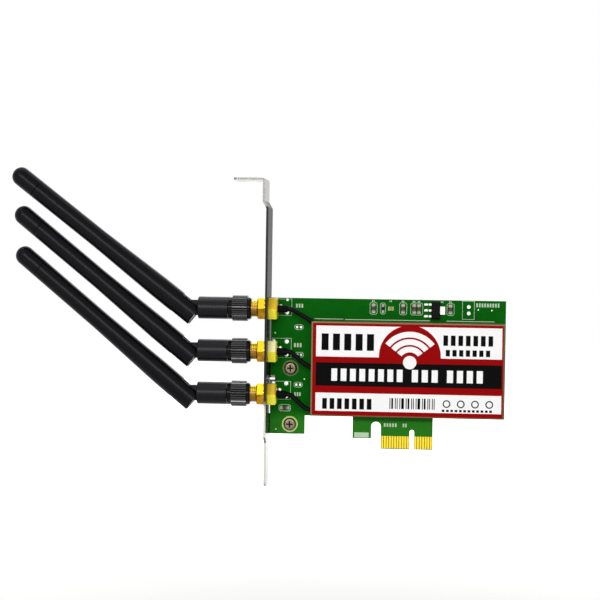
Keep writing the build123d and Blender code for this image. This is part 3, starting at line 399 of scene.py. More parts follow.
def add_grain(tree, shader, colour, grain, tones, roughness, height, stretch=(1.0, 1.0, 1.0), contrast=1.0):
    """Vary colour and roughness with a noise of a real grain size, and raise the surface with it."""
    place = add_node(tree, "ShaderNodeTexCoord")
    mapping = add_node(tree, "ShaderNodeMapping", {"Vector": place.outputs["Object"], "Scale": stretch})
    noise = add_node(tree, "ShaderNodeTexNoise", {
        "Vector": mapping.outputs["Vector"], "Scale": 1 / (grain * MM), "Detail": 3.0, "Roughness": 0.6,
    })
    spread = ramp(tree, noise.outputs["Fac"], 0.5 - 0.5 / contrast, 0.5 + 0.5 / contrast)
    tone = blend(tree, spread, shade(colour, tones[0]), shade(colour, tones[1]))
    polish = add_node(tree, "ShaderNodeMapRange", {
        "Value": spread, "To Min": roughness[0], "To Max": roughness[1],
    })
    bump = add_node(tree, "ShaderNodeBump", {"Height": spread, "Strength": 1.0, "Distance": height * MM})
    colour_by(tree, shader, tone)
    tree.links.new(polish.outputs["Result"], shader.inputs["Roughness"])
    tree.links.new(bump.outputs["Normal"], shader.inputs["Normal"])
    return tone


def paint(material, *names):
    """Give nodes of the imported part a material."""
    for name in names:
        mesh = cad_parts[name].data
        mesh.materials.clear()
        mesh.materials.append(material)


def numbered(stem):
    """Names of a piece that each of the three antennas has."""
    return [f"{stem}_{number}" for number in (1, 2, 3)]


def clear_selection():
    """Leave edit mode and select nothing."""
    if bpy.context.object and bpy.context.object.mode != "OBJECT":
        bpy.ops.object.mode_set(mode="OBJECT")
    bpy.ops.object.select_all(action="DESELECT")


def start_edit():
    """Apply the active object's place to its mesh, and start to edit all its faces."""
    bpy.ops.object.transform_apply(location=True, rotation=True, scale=True)
    bpy.ops.object.mode_set(mode="EDIT")
    bpy.ops.mesh.select_mode(type="FACE")
    bpy.ops.mesh.select_all(action="SELECT")
    return bpy.context.object


def start_patch(x, z, width, height, level):
    """Add a flat patch that faces the component side, and start to edit it."""
    clear_selection()
    bpy.ops.mesh.primitive_plane_add(size=1, location=(x * MM, level, z * MM), rotation=(math.pi / 2, 0, 0))
    bpy.context.object.scale = (width * MM, height * MM, 1)
    return start_edit()


def start_field(left, right, base, top, level):
    """Add a flat patch between four bounds, and start to edit it."""
    return start_patch((left + right) / 2, (base + top) / 2, right - left, top - base, level)


def start_disc(x, z, radius, level, sides=RING_SIDES):
    """Add a flat disc that faces the component side, and start to edit it."""
    clear_selection()
    bpy.ops.mesh.primitive_circle_add(
        vertices=sides, radius=radius, fill_type="NGON",
        location=(x * MM, level, z * MM), rotation=(math.pi / 2, 0, 0),
    )
    return start_edit()


def hollow(width):
    """Inset the selected face and take out its middle."""
    bpy.ops.mesh.inset(thickness=width, depth=0)
    bpy.ops.mesh.delete(type="FACE")
    bpy.ops.mesh.select_all(action="SELECT")


def thicken(film):
    """Raise the edited patch towards the viewer by a film's thickness, and leave edit mode."""
    bpy.ops.mesh.select_all(action="SELECT")
    bpy.ops.mesh.extrude_region_move(TRANSFORM_OT_translate={"value": (0, -film, 0)})
    bpy.ops.mesh.select_all(action="SELECT")
    bpy.ops.mesh.normals_make_consistent(inside=False)
    bpy.ops.object.mode_set(mode="OBJECT")


def round_corners(radius, segments=5):
    """Round the corners of the edited patch."""
    bpy.ops.mesh.bevel(offset=radius, offset_type="OFFSET", segments=segments, affect="VERTICES")
    bpy.ops.mesh.select_all(action="SELECT")


def block_row(left, right, base, top, count):
    """Bounds of the evenly spaced blocks of one row."""
    pitch = (right - left) / count
    starts = [left + number * pitch for number in range(count)]
    return [(start, start + BLOCK_SHARE * pitch, base, top) for start in starts]


def join_pieces(name, pieces, material):
    """Join pieces into one named piece that rides on the card."""
    clear_selection()
    for piece in pieces:
        piece.select_set(True)
    bpy.context.view_layer.objects.active = pieces[0]
    if len(pieces) > 1:
        bpy.ops.object.join()
    whole = bpy.context.view_layer.objects.active
    whole.name = name
    whole.data.name = name
    whole.data.materials.clear()
    whole.data.materials.append(material)
    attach(whole, "card")
    return whole


def ring_pair(x, z, radius, width, film, sides=RING_SIDES):
    """Add one ring on the board's component side and one on its rear."""
    pair = []
    for level, rise in ((BOARD_FRONT, film), (BOARD_REAR, -film)):
        pair.append(start_disc(x, z, radius, level, sides))
        hollow(width)
        thicken(rise)
    return pair


def chip_cap(x, z, width, height, rise):
    """Add the tinned end of a chip, with its edges rounded off."""
    clear_selection()
    bpy.ops.mesh.primitive_cube_add(size=1, location=(x * MM, BOARD_FRONT - rise / 2 * MM, z * MM))
    cap = bpy.context.object
    cap.scale = (width * MM, rise * MM, height * MM)
    bpy.ops.object.transform_apply(location=True, rotation=True, scale=True)
    bpy.ops.object.mode_set(mode="EDIT")
    bpy.ops.mesh.select_mode(type="EDGE")
    bpy.ops.mesh.select_all(action="SELECT")
    bpy.ops.mesh.bevel(offset=CHIP_BEVEL * MM, offset_type="OFFSET", segments=2, affect="EDGES")
    bpy.ops.object.mode_set(mode="OBJECT")
    return cap


def signal_arc(inner, outer, level):
    """Add a band of a ring round the signal's centre, and start to edit it."""
    arc = start_disc(*SIGNAL_CENTRE, outer * MM, level, DOME_SIDES)
    hollow((outer - inner) * MM)
    mesh = bmesh.from_edit_mesh(arc.data)
    for face in mesh.faces:
        centre = face.calc_center_median()
        across = centre.x - SIGNAL_CENTRE[0] * MM
        up = centre.z - SIGNAL_CENTRE[1] * MM
        face.select = abs(math.degrees(math.atan2(across, up))) > SIGNAL_HALF_ANGLE
    bmesh.update_edit_mesh(arc.data)
    bpy.ops.mesh.delete(type="FACE")
    return arc


def thread_crest(pitch, height, place):
    """Wind one ridge into the crest of a thread that runs along the card from a place."""
    clear_selection()
    bpy.ops.mesh.primitive_circle_add(vertices=3, radius=height, location=(0, 0, 0))
    ridge = bpy.context.object
    bpy.ops.object.mode_set(mode="EDIT")
    bpy.ops.mesh.select_all(action="SELECT")
    bpy.ops.transform.rotate(value=math.pi / 2, orient_axis="Z", center_override=(0, 0, 0))
    bpy.ops.transform.rotate(value=math.pi / 2, orient_axis="X", center_override=(0, 0, 0))
    bpy.ops.transform.resize(value=(1.0, 1.0, RIDGE_STRETCH), center_override=(0, 0, 0))
    bpy.ops.transform.translate(value=(THREAD_RADIUS * MM + RIDGE_LIFT * MM, 0, 0))
    bpy.ops.object.mode_set(mode="OBJECT")
    bpy.ops.object.modifier_add(type="SCREW")
    screw = ridge.modifiers[-1]
    screw.axis = "Z"
    screw.steps = THREAD_STEPS
    screw.render_steps = THREAD_STEPS
    screw.iterations = THREAD_TURNS
    screw.screw_offset = pitch
    screw.use_merge_vertices = False
    bpy.ops.object.modifier_apply(modifier=screw.name)
    bpy.ops.object.mode_set(mode="EDIT")
    bpy.ops.mesh.select_all(action="SELECT")
    bpy.ops.mesh.remove_doubles(threshold=WELD_DISTANCE)
    bpy.ops.mesh.fill_holes(sides=3)
    bpy.ops.mesh.select_all(action="SELECT")
    bpy.ops.mesh.normals_make_consistent(inside=False)
    bpy.ops.object.mode_set(mode="OBJECT")
    ridge.rotation_euler = (0, -math.pi / 2, 0)
    ridge.location = place
    bpy.ops.object.transform_apply(location=True, rotation=True, scale=True)
    return ridge


class CARD_OT_board_finish(bpy.types.Operator):
    """Lacquer the board and plate its contacts"""

    bl_idname = "card.board_finish"
    bl_label = "Board and contacts"

    def execute(self, context):
        colours = context.scene.card_colours
        # Liquid solder mask over woven glass laminate: smooth and glossy, faintly mottled by the copper,
        # lighter next to the contact edge where there is no copper, with bare laminate on the cut edges.
        mask, tree, shader = new_material("green_solder_mask", colours.mask, 0.32, specular=0.03)
        lacquer = add_grain(tree, shader, colours.mask, 6.0, (0.8, 1.2), (0.26, 0.4), 0.004)
        no_copper = ramp(tree, axes(tree, "Object")["Z"], COPPER_EDGE[1] * MM, COPPER_EDGE[0] * MM)
        lacquer = blend(tree, no_copper, lacquer, opaque(colours.mask_bare))
        colour_by(tree, shader, blend(tree, broad_face(tree), opaque(colours.laminate), lacquer))
        paint(mask, "circuit_board", "module_board")

        # Hard gold over nickel: a satin metal with faint wear along the way the card slides in.
        gold, tree, shader = new_material("hard_gold_contacts", colours.contact_gold, 0.3, metallic=1.0)
        add_grain(tree, shader, colours.contact_gold, 0.5, (0.8, 1.1), (0.25, 0.4), 0.002, (1.0, 1.0, 0.15))
        paint(gold, "edge_contacts")
        return {"FINISHED"}


class CARD_OT_silk_print(bpy.types.Operator):
    """Print the outlines on the board"""

    bl_idname = "card.silk_print"
    bl_label = "Board print"

    def execute(self, context):
        sizes = context.scene.card_sizes
        colours = context.scene.card_colours
        # Screen-printed epoxy ink: matt, slightly uneven, thin enough to let a little green through.
        ink, tree, shader = new_material("white_board_ink", colours.silk, 0.6, specular=0.2)
        add_grain(tree, shader, colours.silk, 0.8, (0.86, 1.0), (0.55, 0.7), 0.003)

        prints = []
        for bounds in SILK_BOXES:
            prints.append(start_field(*bounds, BOARD_FRONT))
            hollow(sizes.silk_line)
            thicken(sizes.ink_film)
        for bounds in (*SILK_BARS, HOOK_BAR):
            prints.append(start_field(*bounds, BOARD_FRONT))
            thicken(sizes.ink_film)
        for outline in OUTLINES:
            prints.append(start_patch(*outline, BOARD_FRONT))
            round_corners(sizes.outline_corner)
            hollow(sizes.silk_line)
            thicken(sizes.ink_film)
        for row in SILK_ROWS:
            for bounds in block_row(*row):
                prints.append(start_field(*bounds, BOARD_FRONT))
                thicken(sizes.ink_film)
        join_pieces("board_print", prints, ink)
        return {"FINISHED"}


class CARD_OT_tinned_pads(bpy.types.Operator):
    """Add the tinned rings round the holes and the bare pads"""

    bl_idname = "card.tinned_pads"
    bl_label = "Tinned pads"

    def execute(self, context):
        sizes = context.scene.card_sizes
        colours = context.scene.card_colours
        # Hot-dipped tin on copper: bright, softly rippled where it froze.
        tin, tree, shader = new_material("hot_dipped_tin", colours.tin, 0.28, metallic=1.0)
        add_grain(tree, shader, colours.tin, 0.6, (0.8, 1.05), (0.2, 0.4), 0.01)
        # The broad rings round the screws are tinned thinly. The upper one is darker.
        ring_tin, tree, shader = new_material("thin_tin_on_copper", colours.pad_tan, 0.35, metallic=0.7)
        bare = add_grain(tree, shader, colours.pad_tan, 0.9, (0.8, 1.1), (0.3, 0.5), 0.01)
        above_dark_height = combine(tree, "GREATER_THAN", axes(tree, "Object")["Z"], RING_DARK_HEIGHT * MM)
        colour_by(tree, shader, blend(tree, above_dark_height, bare, shade(colours.pad_tan, RING_DARK_TONE)))

        holes = []
        for z in FOOTPRINT_ZS:
            holes.append((FOOTPRINT_X, z, FOOTPRINT_CENTRE_RADIUS))
            for side in (-1, 1):
                for end in (-1, 1):
                    corner = (FOOTPRINT_X + side * FOOTPRINT_HALF, z + end * FOOTPRINT_HALF)
                    holes.append((*corner, FOOTPRINT_HOLE_RADIUS))
        holes += [(x, z, HEADER_HOLE_RADIUS) for x, z in HEADER_PLACES]
        rings = []
        for x, z, radius in holes:
            # A hole so near the board's top that its ring would hang over the edge has none
            if z + radius + sizes.hole_ring / MM > BOARD_TOP:
                continue
            outer = radius * MM + sizes.hole_ring
            rings += ring_pair(x, z, outer, sizes.hole_ring, sizes.pad_film, HOLE_SIDES)
        for x, z in VIA_PLACES:
            rings.append(start_disc(x, z, VIA_RADIUS * MM, BOARD_FRONT, VIA_SIDES))
            thicken(sizes.pad_film)
        for x, z in BARE_PADS:
            for side in (-1, 1):
                pad_x = x + side * BARE_PAD_SPACING / 2
                rings.append(start_patch(pad_x, z, BARE_PAD_WIDTH, BARE_PAD_HEIGHT, BOARD_FRONT))
                round_corners(BARE_PAD_CORNER * MM, PAD_CORNER_STEPS)
                thicken(sizes.pad_film)
        join_pieces("tinned_pads", rings, tin)

        screw_rings = []
        for x, z in SCREW_PLACES:
            screw_rings += ring_pair(x, z, sizes.screw_ring, sizes.screw_ring_width, sizes.pad_film)
        join_pieces("screw_rings", screw_rings, ring_tin)
        paint(tin, "regulator_leads", "module_can")
        return {"FINISHED"}


class CARD_OT_chip_ends(bpy.types.Operator):
    """Cap the ends of the chips with tin and finish the small parts"""

    bl_idname = "card.chip_ends"
    bl_label = "Small parts"

    def execute(self, context):
        sizes = context.scene.card_sizes
        colours = context.scene.card_colours
        # Solder on the chips' pads and up their ends: greyer than the bare pads, and rippled.
        solder, tree, shader = new_material("climbed_solder", colours.solder, 0.3, metallic=1.0)
        add_grain(tree, shader, colours.solder, 0.5, (0.6, 1.1), (0.22, 0.42), 0.01)
        # Fired ceramic: a dull brown block.
        ceramic, tree, shader = new_material("fired_ceramic", colours.ceramic, 0.55, specular=0.2)
        add_grain(tree, shader, colours.ceramic, 0.4, (0.8, 1.15), (0.5, 0.7), 0.004)
        # Moulded epoxy with silica: dark grey, matt, slightly speckled.
        epoxy, tree, shader = new_material("moulded_epoxy", colours.epoxy, 0.5, specular=0.05)
        add_grain(tree, shader, colours.epoxy, 0.3, (0.7, 1.3), (0.45, 0.65), 0.004)
        paint(ceramic, "capacitors")
        paint(epoxy, "regulator", "resistor", "module_socket")

        # Clear epoxy lens, tinted green, on a pale resin base.
        lamp, tree, shader = new_material("tinted_lens", colours.lamp, 0.25)
        tint = add_grain(tree, shader, colours.lamp, 0.7, (0.85, 1.1), (0.2, 0.3), 0.001)
        is_lens = combine(tree, "LESS_THAN", axes(tree, "Object")["Y"], BOARD_FRONT - LAMP_BASE * MM)
        colour_by(tree, shader, blend(tree, is_lens, opaque(colours.silk), tint))
        paint(lamp, "indicator_light")

        end = sizes.chip_end / MM
        skin = 2 * sizes.chip_skin / MM
        chip_rise = CHIP_RISE + skin / 2
        filter_x, filter_z = FILTER_PLACE
        caps = []
        for x in CAPACITOR_XS:
            for side in (-1, 1):
                reach = side * (CHIP_LENGTH - end) / 2
                caps.append((x, CHIP_Z + reach, CHIP_WIDTH + skin, end + skin, chip_rise))
        for side in (-1, 1):
            reach = side * (RESISTOR_LENGTH - end) / 2
            resistor_rise = RESISTOR_RISE + skin / 2
            caps.append((RESISTOR_X, CHIP_Z + reach, RESISTOR_WIDTH + skin, end + skin, resistor_rise))
            reach = side * (CHIP_LENGTH - end) / 2
            caps.append((filter_x + reach, filter_z, end + skin, CHIP_WIDTH + skin, chip_rise))
        pads = []
        for side in (-1, 1):
            reach = side * (CHIP_LENGTH / 2 + PAD_REACH)
            pads += [(x, CHIP_Z + reach, CHIP_WIDTH + PAD_ROOM, PAD_LENGTH) for x in CAPACITOR_XS]
            pads.append((filter_x + reach, filter_z, PAD_LENGTH, CHIP_WIDTH + PAD_ROOM))
            reach = side * (RESISTOR_LENGTH / 2 + PAD_REACH)
            pads.append((RESISTOR_X, CHIP_Z + reach, RESISTOR_WIDTH + PAD_ROOM, PAD_LENGTH))
        pieces = []
        for pad in pads:
            pieces.append(start_patch(*pad, BOARD_FRONT))
            round_corners(PAD_CORNER * MM, PAD_CORNER_STEPS)
            thicken(sizes.pad_film)
        pieces += [chip_cap(*cap) for cap in caps]
        join_pieces("chip_ends", pieces, solder)
        return {"FINISHED"}


class CARD_OT_label_print(bpy.types.Operator):
    """Print the fields of the cover's label"""

    bl_idname = "card.label_print"
    bl_label = "Cover and label"

    def execute(self, context):
        sizes = context.scene.card_sizes
        colours = context.scene.card_colours
        film = sizes.ink_film
        # Coated vinyl, offset printed: satin, with a very fine pebble.
        red, tree, shader = new_material("red_printed_vinyl", colours.label_red, 0.45, specular=0.03)
        add_grain(tree, shader, colours.label_red, 1.2, (0.94, 1.05), (0.4, 0.52), 0.003)
        white, tree, shader = new_material("white_printed_vinyl", colours.label_white, 0.45, specular=0.03)
        add_grain(tree, shader, colours.label_white, 1.2, (0.97, 1.0), (0.4, 0.52), 0.003)
        black, tree, shader = new_material("black_printed_vinyl", colours.label_black, 0.4, specular=0.03)
        add_grain(tree, shader, colours.label_black, 1.2, (0.8, 1.2), (0.36, 0.5), 0.003)
        # Tinned sheet steel, rolled along the card.
        sheet, tree, shader = new_material("rolled_tinned_sheet", colours.cover, 0.4, metallic=0.8)
        add_grain(tree, shader, colours.cover, 0.5, (0.8, 1.1), (0.32, 0.5), 0.004, (0.08, 1.0, 1.0))
        paint(red, "cover_label")
        paint(sheet, "shield_cover")

        def field(left, right, base, top, layer):
            """Print one field as the given layer of ink."""
            patch = start_field(left, right, base, top, LABEL_FRONT - layer * film)
            thicken(film)
            return patch

        pale = [field(LABEL_LEFT, LABEL_RIGHT, *panel, 0) for panel in (UPPER_PANEL, LOWER_PANEL)]
        dark = [field(LABEL_LEFT, LABEL_RIGHT, *BAND, 2)]

        # Plain bars of several widths in the lower panel
        bar_left, bar_right, bar_base, bar_top = BAR_FIELD
        place = bar_left
        count = 0
        while place < bar_right:
            width = BAR_STEP * (1 + count % 3 * (count % 2))
            dark.append(field(place, min(place + width, bar_right), bar_base, bar_top, 1))
            place += width + BAR_STEP * (1 + count % 2)
            count += 1

        # Plain blocks in place of words, and plain rings
        for row in DARK_ROWS:
            dark += [field(*block, 1) for block in block_row(*row)]
        for row in PALE_ROWS:
            pale += [field(*block, 3) for block in block_row(*row)]
        for x, z in RING_PLACES:
            dark.append(start_disc(x, z, sizes.ring_radius, LABEL_FRONT - film))
            hollow(sizes.ring_line)
            thicken(film)

        # Dome with arcs of equal bands over a dot
        dome = start_disc(*DOME_CENTRE, sizes.dome_radius, LABEL_FRONT - film, DOME_SIDES)
        thicken(film)
        pale.append(start_disc(*SIGNAL_CENTRE, sizes.dot_radius, LABEL_FRONT - 3 * film))
        thicken(film)
        for inner, outer in SIGNAL_ARCS:
            pale.append(signal_arc(inner, outer, LABEL_FRONT - 2 * film))
            thicken(film)
        join_pieces("label_pale_fields", pale, white)
        join_pieces("label_dark_fields", dark, black)
        join_pieces("label_dome", [dome], red)
        return {"FINISHED"}


class CARD_OT_jack_threads(bpy.types.Operator):
    """Cut the thread that shows on the jacks, plate the jacks and sheathe the leads"""

    bl_idname = "card.jack_threads"
    bl_label = "Jacks and leads"

    def execute(self, context):
        sizes = context.scene.card_sizes
        colours = context.scene.card_colours
        nuts_low, nuts_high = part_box("jack_nuts")
        # Bright gold over machined brass: mirror-like with faint turning marks round the axis.
        gold, tree, shader = new_material("bright_gold_plate", colours.gold, 0.16, metallic=1.0)
        add_grain(tree, shader, colours.gold, 0.5, (0.86, 1.1), (0.1, 0.24), 0.003, TURNING_MARKS)
        paint(gold, "jack_pins", "coax_sockets", "module_standoffs")
        paint(gold, *numbered("plug_contact"), *numbered("coax_plug"), *numbered("radiator"))
        # The same plating on the nuts and threads: random brown tarnish, with a painted highlight of plain
        # gold on the upper side.
        worn, tree, shader = new_material("tarnished_gold_with_painted_highlight", colours.worn_gold, 0.2, metallic=1.0)
        tarnish = add_grain(
            tree, shader, colours.worn_gold, 2.4, (0.12, 1.1), (0.12, 0.3), 0.002, (0.6, 1.0, 1.0),
            contrast=1.9,
        )
        # Painted highlight: plain gold on the upper side over the random tarnish
        colour_by(tree, shader, blend(tree, facing_up(tree, ROUND_TURN), tarnish, opaque(colours.gold)))
        paint(worn, "lock_washers", "jack_nuts")
        # The jacks have both: bright on the hexagon, with painted shade on the thread outside the bracket and
        # a painted highlight of plain gold on its upper side. The upper flats of the hexagon carry a painted
        # reflection: darker on the outer jacks, lighter on the middle one.
        painted_flat_tones = (colours.gold_painted_shade, colours.gold_painted_highlight, colours.gold_painted_shade)
        # Painted shade for the thread outside the bracket
        film = shade(colours.worn_gold, THREAD_SHADE_TONE)
        for name, painted_flat_tone in zip(numbered("antenna_jack"), painted_flat_tones):
            jack, tree, shader = new_material(f"gold_plated_{name}", colours.gold, 0.28, metallic=0.3)
            bright = add_grain(
                tree, shader, colours.gold, 0.5, (1.2, 1.4), (0.22, 0.34), 0.001, TURNING_MARKS,
            )
            # Upper flats take a painted reflection tone, and the thread takes painted shade with a painted
            # highlight on its upper side
            hexagon = blend(tree, facing_up(tree, FLAT_TURN), bright, opaque(painted_flat_tone))
            thread = blend(tree, facing_up(tree, ROUND_TURN), film, opaque(colours.gold))
            outside = combine(tree, "LESS_THAN", axes(tree, "Object")["X"], nuts_high.x)
            colour_by(tree, shader, blend(tree, outside, hexagon, thread))
            paint(jack, name)

        # Turned fluoropolymer: white and waxy.
        polymer, tree, shader = new_material("turned_white_polymer", colours.label_white, 0.5)
        add_grain(tree, shader, colours.label_white, 0.6, (0.9, 1.0), (0.45, 0.6), 0.003)
        paint(polymer, "jack_insulators", *numbered("plug_insulator"))

        # Extruded jacket: smooth satin black. The shrunk sleeve over it is duller.
        jacket, tree, shader = new_material("extruded_black_jacket", colours.jacket, 0.4, specular=0.06)
        add_grain(tree, shader, colours.jacket, 1.0, (0.8, 1.3), (0.34, 0.5), 0.006)
        paint(jacket, *numbered("pigtail"))
        sleeve, tree, shader = new_material("shrunk_black_sleeve", colours.jacket, 0.6, specular=0.06)
        add_grain(tree, shader, colours.jacket, 0.6, (0.9, 1.8), (0.55, 0.75), 0.01)
        paint(sleeve, *numbered("heat_shrink"))

        # Each crest starts at its nut's outer face
        threads = []
        for name in numbered("antenna_jack"):
            low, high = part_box(name)
            middle = (low + high) / 2
            start = (nuts_low.x, middle.y, middle.z)
            threads.append(thread_crest(sizes.thread_pitch, sizes.thread_height, start))
        join_pieces("jack_threads", threads, worn)
        return {"FINISHED"}


class CARD_OT_bracket_finish(bpy.types.Operator):
    """Finish the bracket and the screws"""

    bl_idname = "card.bracket_finish"
    bl_label = "Bracket and screws"

    def execute(self, context):
        colours = context.scene.card_colours
        # Cold-rolled sheet with nickel plating: satin, brushed along its length. Painted shade dims the
        # reflection of the face and of upward flats such as the flange. The sheared edges carry a painted
        # shadow beside the face, and painted light on the flange and, brighter, on the tail.
        steel, tree, shader = new_material("nickel_plated_sheet", colours.steel, 0.22, metallic=1.0)
        sheet = add_grain(
            tree, shader, colours.steel, 1.0, (0.8, 1.15), (0.16, 0.3), 0.0005, (1.0, 1.0, 0.05),
        )
        place = axes(tree, "Object")
        over_tail = ramp(tree, place["Z"], FACE_BEGINS[0] * MM, FACE_BEGINS[1] * MM)
        under_flange = ramp(tree, place["Z"], FACE_ENDS[0] * MM, FACE_ENDS[1] * MM)
        is_face = combine(tree, "MULTIPLY", over_tail, under_flange)
        # Painted shade: reflection dimmed on the face and on upward flats
        dim_reflection_where(tree, shader, combine(tree, "MAXIMUM", is_face, facing_up(tree, FLAT_TURN)), GRAZING_SHADE_LEVEL)
        # Painted light on the flange and tail edges, painted shadow on the face's edges
        painted_end_light = blend(tree, under_flange, opaque(colours.flange_edge_painted_light), opaque(colours.tail_edge_painted_light))
        edge_light_and_shade = blend(tree, is_face, painted_end_light, opaque(colours.edge_painted_shadow))
        beside_board = combine(tree, "LESS_THAN", place["X"], BOARD_LEFT)
        is_sheared = combine(tree, "MULTIPLY", broad_face(tree), beside_board)
        colour_by(tree, shader, blend(tree, is_sheared, sheet, edge_light_and_shade))
        paint(steel, "bracket", "module_screws", *numbered("hinge_pin"))
        # Rolled screw with nickel plating: bright on top, with painted shade in the cross and round the foot.
        screw, tree, shader = new_material("nickel_plated_screw", colours.screw, 0.25, metallic=1.0)
        plating = add_grain(tree, shader, colours.screw, 0.7, (0.4, 1.6), (0.16, 0.34), 0.006)
        depth = axes(tree, "Object")["Y"]
        head_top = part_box("bracket_screws")[0].y
        below_top = ramp(tree, depth, head_top, head_top + RECESS_SHADE_DEPTH * MM)
        painted_recess_shade = combine(tree, "MULTIPLY", below_top, combine(tree, "LESS_THAN", depth, BOARD_FRONT))
        # Painted shade in the cross and down the head below its top
        colour_by(tree, shader, blend(tree, painted_recess_shade, plating, shade(colours.screw, RECESS_SHADE_TONE)))
        paint(screw, "bracket_screws")
        return {"FINISHED"}


class CARD_OT_antenna_finish(bpy.types.Operator):
    """Finish the antennas and their collars"""

    bl_idname = "card.antenna_finish"
    bl_label = "Antennas"

    def execute(self, context):
        colours = context.scene.card_colours
        # Moulded thermoplastic: near black with a fine spark-eroded texture, drawn coarser so that it shows.
        plastic, tree, shader = new_material("moulded_black_plastic", colours.antenna, 0.27, specular=0.08)
        add_grain(tree, shader, colours.antenna, 0.5, (0.8, 1.25), (0.24, 0.31), 0.003)
        paint(plastic, *numbered("whip"), *numbered("tip_cap"))
        # The same plastic on the base barrels, worn smoother by fingers, with a painted grey highlight on the
        # upper side.
        barrel, tree, shader = new_material("handled_black_plastic_painted_highlight", colours.antenna, 0.3, specular=0.15)
        clean = add_grain(tree, shader, colours.antenna, 0.5, (0.8, 1.25), (0.27, 0.34), 0.002)
        # Painted grey highlight on the upper side
        colour_by(tree, shader, blend(tree, facing_up(tree, HIGHLIGHT_TURN), clean, opaque(colours.barrel_highlight)))
        paint(barrel, *numbered("antenna_base"))
        # Black-chromed brass: polished on the ridges of the knurl, with painted shade dimming the reflection
        # on the plain rims beside it.
        collar, tree, shader = new_material("black_chromed_brass", colours.collar, 0.14, specular=0.55)
        add_grain(tree, shader, colours.collar, 0.6, (0.8, 1.4), (0.1, 0.18), 0.002)
        low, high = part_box("collar_1")
        along = axes(tree, "Object")["X"]
        on_rear = combine(tree, "LESS_THAN", along, low.x + REAR_RIM * MM)
        on_front = combine(tree, "GREATER_THAN", along, high.x - FRONT_RIM * MM)
        # Painted shade: reflection dimmed on the plain rims
        dim_reflection_where(tree, shader, combine(tree, "MAXIMUM", on_rear, on_front), COLLAR_RIM_SHADE)
        paint(collar, *numbered("collar"), *numbered("antenna_plug"))
        return {"FINISHED"}


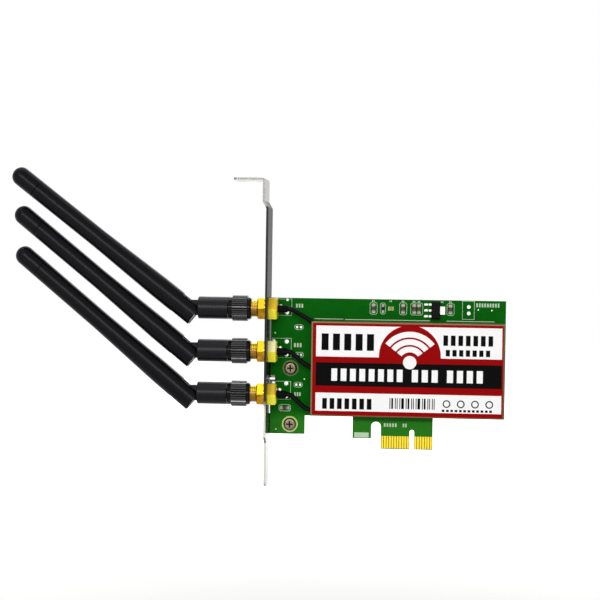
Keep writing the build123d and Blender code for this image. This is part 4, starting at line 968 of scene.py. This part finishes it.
class CARD_OT_stage(bpy.types.Operator):
    """Set the floor, the light and the camera"""

    bl_idname = "card.stage"
    bl_label = "Stage"

    def execute(self, context):
        colours = context.scene.card_colours
        scene = context.scene
        scene.view_settings.view_transform = "Standard"

        clear_selection()
        bpy.ops.mesh.primitive_plane_add(size=FLOOR_SIZE, location=FLOOR_PLACE)
        floor = bpy.context.object
        floor.name = "studio_floor"
        # Matt paper sweep that fades into white away from the object and keeps its shadow.
        paper, tree, shader = new_material("matt_paper_sweep", colours.floor, 0.9, specular=0.0)
        add_grain(tree, shader, colours.floor, 30.0, (0.99, 1.0), (0.88, 0.95), 0.0)
        place = add_node(tree, "ShaderNodeTexCoord")
        away = add_node(tree, "ShaderNodeVectorMath", {0: place.outputs["Object"]}, operation="LENGTH")
        fade = add_node(tree, "ShaderNodeMapRange", {
            "Value": away.outputs["Value"],
            "From Min": GLOW_DISTANCES[0],
            "From Max": GLOW_DISTANCES[1],
            "To Min": GLOW_LEVELS[0],
            "To Max": GLOW_LEVELS[1],
        })
        glow = combine(tree, "MULTIPLY", seen_rays(tree), fade.outputs["Result"])
        shader.inputs["Emission Color"].default_value = opaque(WHITE)
        tree.links.new(glow, shader.inputs["Emission Strength"])
        floor.data.materials.append(paper)

        # White where it is seen, and dimmer as a light
        world = bpy.data.worlds.new("studio_white")
        scene.world = world
        world.use_nodes = True
        tree = world.node_tree
        tree.nodes.clear()
        strength = add_node(tree, "ShaderNodeMath", {
            0: seen_rays(tree), 1: 1.0 - AMBIENT, 2: AMBIENT,
        }, operation="MULTIPLY_ADD")
        sky = add_node(tree, "ShaderNodeBackground", {
            "Color": opaque(WHITE), "Strength": strength.outputs[0],
        })
        add_node(tree, "ShaderNodeOutputWorld", {"Surface": sky.outputs["Background"]})

        for name, place, wide, high, watts in LAMPS:
            clear_selection()
            bpy.ops.object.light_add(type="AREA", location=place)
            lamp = bpy.context.object
            lamp.name = name
            lamp.data.shape = "RECTANGLE"
            lamp.data.size = wide
            lamp.data.size_y = high
            lamp.data.energy = watts
            lamp.rotation_euler = (Vector(LAMP_TARGET) - Vector(place)).to_track_quat("-Z", "Y").to_euler()

        azimuth = math.radians(CAMERA_AZIMUTH)
        elevation = math.radians(CAMERA_ELEVATION)
        back = Vector((
            math.sin(azimuth) * math.cos(elevation),
            -math.cos(azimuth) * math.cos(elevation),
            math.sin(elevation),
        ))
        bpy.ops.object.camera_add(location=Vector(CAMERA_TARGET) * MM + back * (CAMERA_DISTANCE * MM))
        camera = bpy.context.object
        camera.name = "photo_camera"
        camera.data.sensor_width = SENSOR_WIDTH
        camera.data.lens = SENSOR_WIDTH * FOCAL_PIXELS / PICTURE_PIXELS
        camera.data.clip_start, camera.data.clip_end = CLIP_RANGE
        aim = back.to_track_quat("Z", "Y").to_matrix().to_4x4()
        lean = Matrix.Rotation(math.radians(CAMERA_LEAN), 4, "Z")
        camera.rotation_euler = (aim @ lean).to_euler()
        scene.camera = camera
        return {"FINISHED"}


OPERATORS = (
    CARD_OT_board_finish,
    CARD_OT_silk_print,
    CARD_OT_tinned_pads,
    CARD_OT_chip_ends,
    CARD_OT_label_print,
    CARD_OT_jack_threads,
    CARD_OT_bracket_finish,
    CARD_OT_antenna_finish,
    CARD_OT_stage,
)


class CARD_PT_looks(bpy.types.Panel):
    """Sizes, colours and steps of the card's looks"""

    bl_idname = "CARD_PT_looks"
    bl_label = "Wireless card"
    bl_space_type = "VIEW_3D"
    bl_region_type = "UI"
    bl_category = "Card"

    def draw(self, context):
        layout = self.layout
        for group in (context.scene.card_sizes, context.scene.card_colours):
            column = layout.column()
            for name in group.__annotations__:
                column.prop(group, name)
        for operator in OPERATORS:
            layout.operator(operator.bl_idname)


CLASSES = (CardSizes, CardColours, *OPERATORS, CARD_PT_looks)


def register():
    """Register the classes and hang the settings on the scene."""
    for entry in CLASSES:
        bpy.utils.register_class(entry)
    bpy.types.Scene.card_sizes = bpy.props.PointerProperty(type=CardSizes)
    bpy.types.Scene.card_colours = bpy.props.PointerProperty(type=CardColours)


def unregister():
    """Take the settings and the classes away again."""
    del bpy.types.Scene.card_colours
    del bpy.types.Scene.card_sizes
    for entry in reversed(CLASSES):
        bpy.utils.unregister_class(entry)


def main():
    """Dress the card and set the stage."""
    register()
    bpy.ops.card.board_finish()
    bpy.ops.card.silk_print()
    bpy.ops.card.tinned_pads()
    bpy.ops.card.chip_ends()
    bpy.ops.card.label_print()
    bpy.ops.card.jack_threads()
    bpy.ops.card.bracket_finish()
    bpy.ops.card.antenna_finish()
    bpy.ops.card.stage()


if __name__ == "__main__":
    main()
